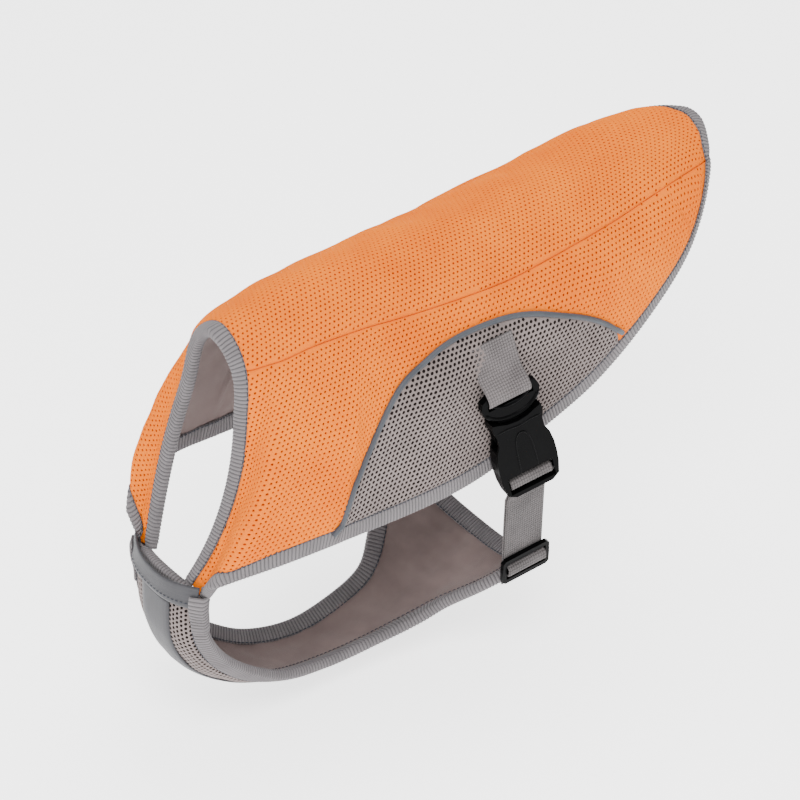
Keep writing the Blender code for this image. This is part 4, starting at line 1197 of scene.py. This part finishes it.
# the band across the chest top
top_line = chest_points[0]
run = lengths(top_line)
at = np.linspace(2.5, run[-1] - 2.5, 65)
line = read(at, run, top_line)
outs = unit(read(at, run, CHEST_CLOTH.normals[0]))
down = unit(read(at, run, chest_points[6]) - line)
top = line[:, 2] + 120.5 - 1.2 * np.abs(np.linspace(-1, 1, 65)) ** 2
steps = np.linspace(0.0, BAND_WIDTH, 15)
places = line[:, None, :] + down[:, None, :] * (top[:, None, None] + steps[None, :, None])
uv = np.stack(np.broadcast_arrays(steps[None, :], at[:, None]), -1)
band_top, band_height = laid_strip("chest_band_cloth", "chest_band", places,
                                   np.broadcast_to(outs[:, None, :], places.shape), 1.0, uv)
seam_line = band_top[:, 11]
seam_run = lengths(seam_line)
seam_at = np.arange(3.0, seam_run[-1] - 4.0, 2.9)
seam_out = read(seam_at + 1.0, seam_run, outs)
joined_capsules("chest_band_stitches", along(seam_line, seam_at) + seam_out * 0.3,
                along(seam_line, seam_at + 2.0) + seam_out * 0.3, seam_out, 0.3)

# the raw ends of the hem tape, laid over the ends of the band
for name, column, flip, place in (("hem_end_left", chest_flat[:, -1], 1, -3),
                                  ("hem_end_right", chest_flat[:, 0], -1, 2)):
    over_band = float(np.median(band_height[place])) - LIFT - PRESSED
    tape(name, CHEST_CLOTH, evenly(column, 1.0)[:19], np.full(20, 6.2), [], 105, flip,
         extra=(over_band, over_band * 0.8, over_band * 0.6, 1.6, 1.2, 1.0), longer=2.5)

# the strip down the front of the chest
strip_places = np.arange(7, 61)
strip_across = np.linspace(-STRIP_WIDTH / 2, STRIP_WIDTH / 2, 15)
places = []
outs = []
for i in strip_places:
    y = chest_points[i, ::-1, 1]
    places.append(read(strip_across, y, chest_points[i, ::-1]))
    outs.append(unit(read(strip_across, y, CHEST_CLOTH.normals[i, ::-1])))
uv = np.stack(np.broadcast_arrays(strip_across[None, :], down_run[strip_places][:, None]), -1)
laid_strip("chest_strip_cloth", "chest_strip", np.array(places), np.array(outs), 0.9, uv)

# ------------------------------ webbing
WEBBING = 25.0
WEBBING_THICK = 1.15
STRAP_TOP = np.array((126.0, -57.0, -11.0))
MALE_TOP = np.array((129.0, -70.0, -41.0))
FEMALE_BAR = np.array((140.5, -74.5, -95.5))
SLIDER = np.array((146.5, -65.5, -162.6))
BUCKLE_YAW = 10.0
STRAP_LENGTH = float(np.linalg.norm(SLIDER - FEMALE_BAR))


def strap_frame(start, end, yaw=0.0):
    """Across, along and outward directions of a strap on the left side."""
    down = unit(end - start)
    across = unit(np.array((1.0, 0.0, 0.0)) - down * down[0])
    out = np.cross(across, down)
    if out[1] > 0:
        out = -out
    angle = math.radians(yaw)
    turned = across * math.cos(angle) + out * math.sin(angle)
    out = out * math.cos(angle) - across * math.sin(angle)
    return turned, down, out


def placed(origin, axes, across, down, out):
    """A point given across, along and outward in a strap's frame."""
    return origin + axes[0] * across + axes[1] * down + axes[2] * out


def mirrored(piece, name, slot, nodes=()):
    """The same piece on the dog's right side."""
    mesh = piece.data.copy()
    for vertex in mesh.vertices:
        vertex.co.y = -vertex.co.y
    mesh.flip_normals()
    twin = linked(name, mesh)
    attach(twin, "root")
    declare(twin, nodes)


def strap(name, centres, sides, outs, material, node):
    """Woven webbing along a line, with rounded selvedges: centre, across and outward."""
    shares = np.concatenate(((-1.0, -0.985, -0.95), np.linspace(-0.88, 0.88, 9),
                             (0.95, 0.985, 1.0)))
    round_off = np.array([0.45, 0.8, 1.0] + [1.0] * 9 + [1.0, 0.8, 0.45])
    selvedge = np.array([0.0, 0.10, 0.12, 0.05] + [0.0] * 7 + [0.05, 0.12, 0.10, 0.0])
    run = lengths(centres)
    rings = []
    uv = []
    for centre, side, out, far in zip(centres, sides, outs, run):
        half = WEBBING_THICK / 2 * (round_off + selvedge)
        base = centre + side * (WEBBING / 2 * shares)[:, None]
        rings.append(np.concatenate((base + out * half[:, None],
                                     (base - out * half[:, None])[::-1])))
        line = np.stack((WEBBING / 2 * shares, np.full(15, far)), -1)
        uv.append(np.concatenate((line, line[::-1])))
    piece = swept(name + "_left", rings, material, np.concatenate(uv))
    declare(piece, [node + "_left"])
    mirrored(piece, name + "_right", "woven_webbing", [node + "_right"])


def even_route(step, points, *fellows):
    """A smooth line through points, evenly spaced, with what goes along with it."""
    knots = lengths(points)
    at = np.linspace(0, knots[-1], max(8, int(knots[-1] / step)))
    return [smooth(knots, value, at) for value in (points, *fellows)]


buckle_axes = strap_frame(MALE_TOP, FEMALE_BAR, BUCKLE_YAW)
strap_axes = strap_frame(FEMALE_BAR, SLIDER)
toward = unit(MALE_TOP - STRAP_TOP)
inwards = unit(np.array((0.0, 1.0, -0.35)))
skin = node_tree("flank_left", "side_left")
centres = []
outs = []
for far in np.linspace(2.6, 20.0, 6):
    start = STRAP_TOP + toward * far - inwards * 20.0
    highest = 1e9
    for share in (-0.5, -0.25, 0, 0.25, 0.5):
        hit = skin.ray_cast(Vector(start + buckle_axes[0] * share * WEBBING), Vector(inwards))
        highest = min(highest, hit[3])
    centres.append(start + inwards * (highest - 0.9))
    outs.append(-inwards)
for o, d, turn in ((2.2, -4.6, 0), (3.3, -2.4, 0), (3.2, 0.4, 40), (1.4, 2.9, 90),
                   (-2.0, 3.3, 90)):
    angle = math.radians(turn)
    centres.append(placed(MALE_TOP, buckle_axes, 0.0, d, o))
    outs.append(buckle_axes[2] * math.cos(angle) + buckle_axes[1] * math.sin(angle))
centres, outs = even_route(0.8, np.array(centres), np.array(outs))
strap("webbing_upper", centres, np.tile(buckle_axes[0], (len(centres), 1)), unit(outs), WOVEN,
      "upper_webbing")

end = STRAP_LENGTH
# the lower webbing's route, outward and along from the female half's bar
ROUTE = ((-4.1, end + 14.0), (-4.05, end + 8.0), (-4.05, end), (-4.05, end - 11.0),
         (-3.8, end / 2), (-3.3, 13.0), (-3.15, 7.0), (-2.9, 3.5), (-2.1, 0.2),
         (-1.3, -2.3), (1.0, -2.9), (3.2, -2.1), (3.6, -0.8), (3.6, 0.8), (3.1, 2.1),
         (1.9, 2.95), (0.5, 3.3), (-0.7, 4.0), (-1.35, 5.2), (-1.45, 8.0),
         (-2.0, end / 2), (-2.3, end - 9.0), (-2.35, end - 6.0), (-1.9, end - 4.6),
         (-0.2, end - 3.5), (1.2, end - 3.0), (2.4, end - 1.8), (2.45, end),
         (2.4, end + 1.8), (1.2, end + 3.0), (-0.2, end + 3.5), (-1.9, end + 4.6),
         (-2.35, end + 6.0), (-2.3, end + 9.0))
route, = even_route(0.7, np.array(ROUTE, float))
ahead = unit(np.gradient(route, axis=0))
turned = np.stack((-ahead[:, 1], ahead[:, 0]), -1)
centres = []
sides = []
outs = []
for (o, d), (out_o, out_d) in zip(route, turned):
    share = min(max((d - 6.0) / 10.0, 0.0), 1.0)
    centres.append(placed(FEMALE_BAR, buckle_axes, 0, d, o) * (1 - share)
                   + placed(FEMALE_BAR, strap_axes, 0, d, o) * share)
    axes = [unit(buckle_axes[k] * (1 - share) + strap_axes[k] * share) for k in range(3)]
    sides.append(axes[0])
    outs.append(axes[2] * out_o + axes[1] * out_d)
# the lower webbing takes the darker copy of the webbing, painted shade
strap("webbing_lower", np.array(centres), np.array(sides), unit(np.array(outs)), WOVEN_SHADED_COPY,
      "lower_webbing")

# ------------------------------ buckles and sliders
for name in ("buckle_male", "buckle_female", "slider"):
    for side in ("_left", "_right"):
        node = frame["nodes"][name + side]
        node.data.materials.clear()
        node.data.materials.append(PLASTIC)
        bevel = node.modifiers.new("edges", "BEVEL")
        bevel.width = PLASTIC_EDGE * MM
        bevel.segments = 4
        bevel.limit_method = "ANGLE"
        bevel.angle_limit = math.radians(30)


def bead(name, half, radius, height):
    """A rounded ridge on the outer face of the buckle, on both sides of the vest.

    Half is the half of its line from the middle on, across and along.
    """
    line = [(-a, d) for a, d in half[:0:-1]] + list(half)
    line = smooth(np.arange(len(line)), np.array(line, float),
                  np.linspace(0, len(line) - 1, 8 * len(line)))
    points = np.array([placed(MALE_TOP, buckle_axes, a, d, height) for a, d in line])
    ahead = unit(np.gradient(points, axis=0))
    side = unit(np.cross(ahead, buckle_axes[2]))
    taper = np.minimum(1.0, 0.35 + from_ends(len(points)) / 5)
    rings = []
    for k in range(10):
        angle = 2 * math.pi * k / 10
        rings.append(points + (side * math.cos(angle) + buckle_axes[2] * math.sin(angle) * 0.8)
                     * (radius * taper)[:, None])
    piece = swept(name + "_left", list(np.stack(rings, axis=1)), PLASTIC)
    declare(piece)
    mirrored(piece, name + "_right", "black_plastic")


bead("buckle_lip", ((0, 13.4), (7.5, 12.4), (13.0, 9.2), (15.6, 5.5)), 1.3, 1.9)
bead("buckle_collar", ((0, 6.2), (6.0, 5.2), (12.6, 1.2)), 0.8, 2.1)
bead("buckle_tongue", ((0, 24.0), (2.4, 25.2), (4.2, 30.0), (5.0, 40.0), (5.2, 50.0)), 0.6, 4.4)
bead("buckle_rim", ((0, 19.4), (7.0, 18.6), (13.4, 19.0)), 0.7, 4.3)

# ------------------------------ floor, lights and camera
for item in list(bpy.data.objects):
    if item.name in ("Cube", "Light", "Camera") and item.parent is None:
        bpy.data.objects.remove(item, do_unlink=True)

floor_mesh = bpy.data.meshes.new("floor")
floor_mesh.from_pydata([(-4, -4, 0), (4, -4, 0), (4, 4, 0), (-4, 4, 0)], [], [(0, 1, 2, 3)])
floor = linked("floor", floor_mesh)
floor.location = (0, 0, CAD_BOX[0][2] - 0.012)
paper = Look("paper")
floor_mesh.materials.append(paper.finish((0.95, 0.95, 0.95), 0.9, 0.0, 0.1))
paper.shader.inputs["Emission Color"].default_value = (1.0, 1.0, 1.0, 1.0)
paper.shader.inputs["Emission Strength"].default_value = 1.9

world = bpy.context.scene.world or bpy.data.worlds.new("sky")
bpy.context.scene.world = world
world.use_nodes = True
sky = world.node_tree.nodes["Background"]
sky.inputs["Color"].default_value = (1.0, 1.0, 1.0, 1.0)
sky.inputs["Strength"].default_value = 1.35


def area_light(name, place, aim, size, power):
    """A soft light that shines towards a point."""
    light = bpy.data.lights.new(name, "AREA")
    light.shape = "DISK"
    light.size = size
    light.energy = power
    lamp = linked(name, light)
    lamp.location = place
    lamp.rotation_euler = (Vector(aim) - Vector(place)).to_track_quat("-Z", "Y").to_euler()


area_light("key", (-0.55, -0.75, 1.15), (0, 0, -0.1), 0.7, 24.0)
area_light("top", (0.35, 0.25, 1.2), (0, 0, -0.05), 0.9, 12.0)
area_light("front", (-1.3, -0.6, 0.1), (-0.1, 0, -0.12), 0.8, 7.0)

azimuth = math.radians(-36.0)
elevation = math.radians(35.5)
right = Vector((math.cos(azimuth), math.sin(azimuth), 0.0))
back = Vector((math.sin(azimuth) * math.cos(elevation), -math.cos(azimuth) * math.cos(elevation),
               math.sin(elevation)))
up = back.cross(right)
target = Vector((-0.150, 0.0, -0.0186)) + right * 0.0895 - up * 0.026
camera_data = bpy.data.cameras.new("camera")
camera_data.sensor_width = 36.0
camera_data.lens = 36.0 * 2000.0 / 408.0
camera_data.clip_start = 0.1
camera = linked("camera", camera_data)
camera.location = target + back * 2.0
camera.rotation_euler = back.to_track_quat("Z", "Y").to_euler()
bpy.context.scene.camera = camera
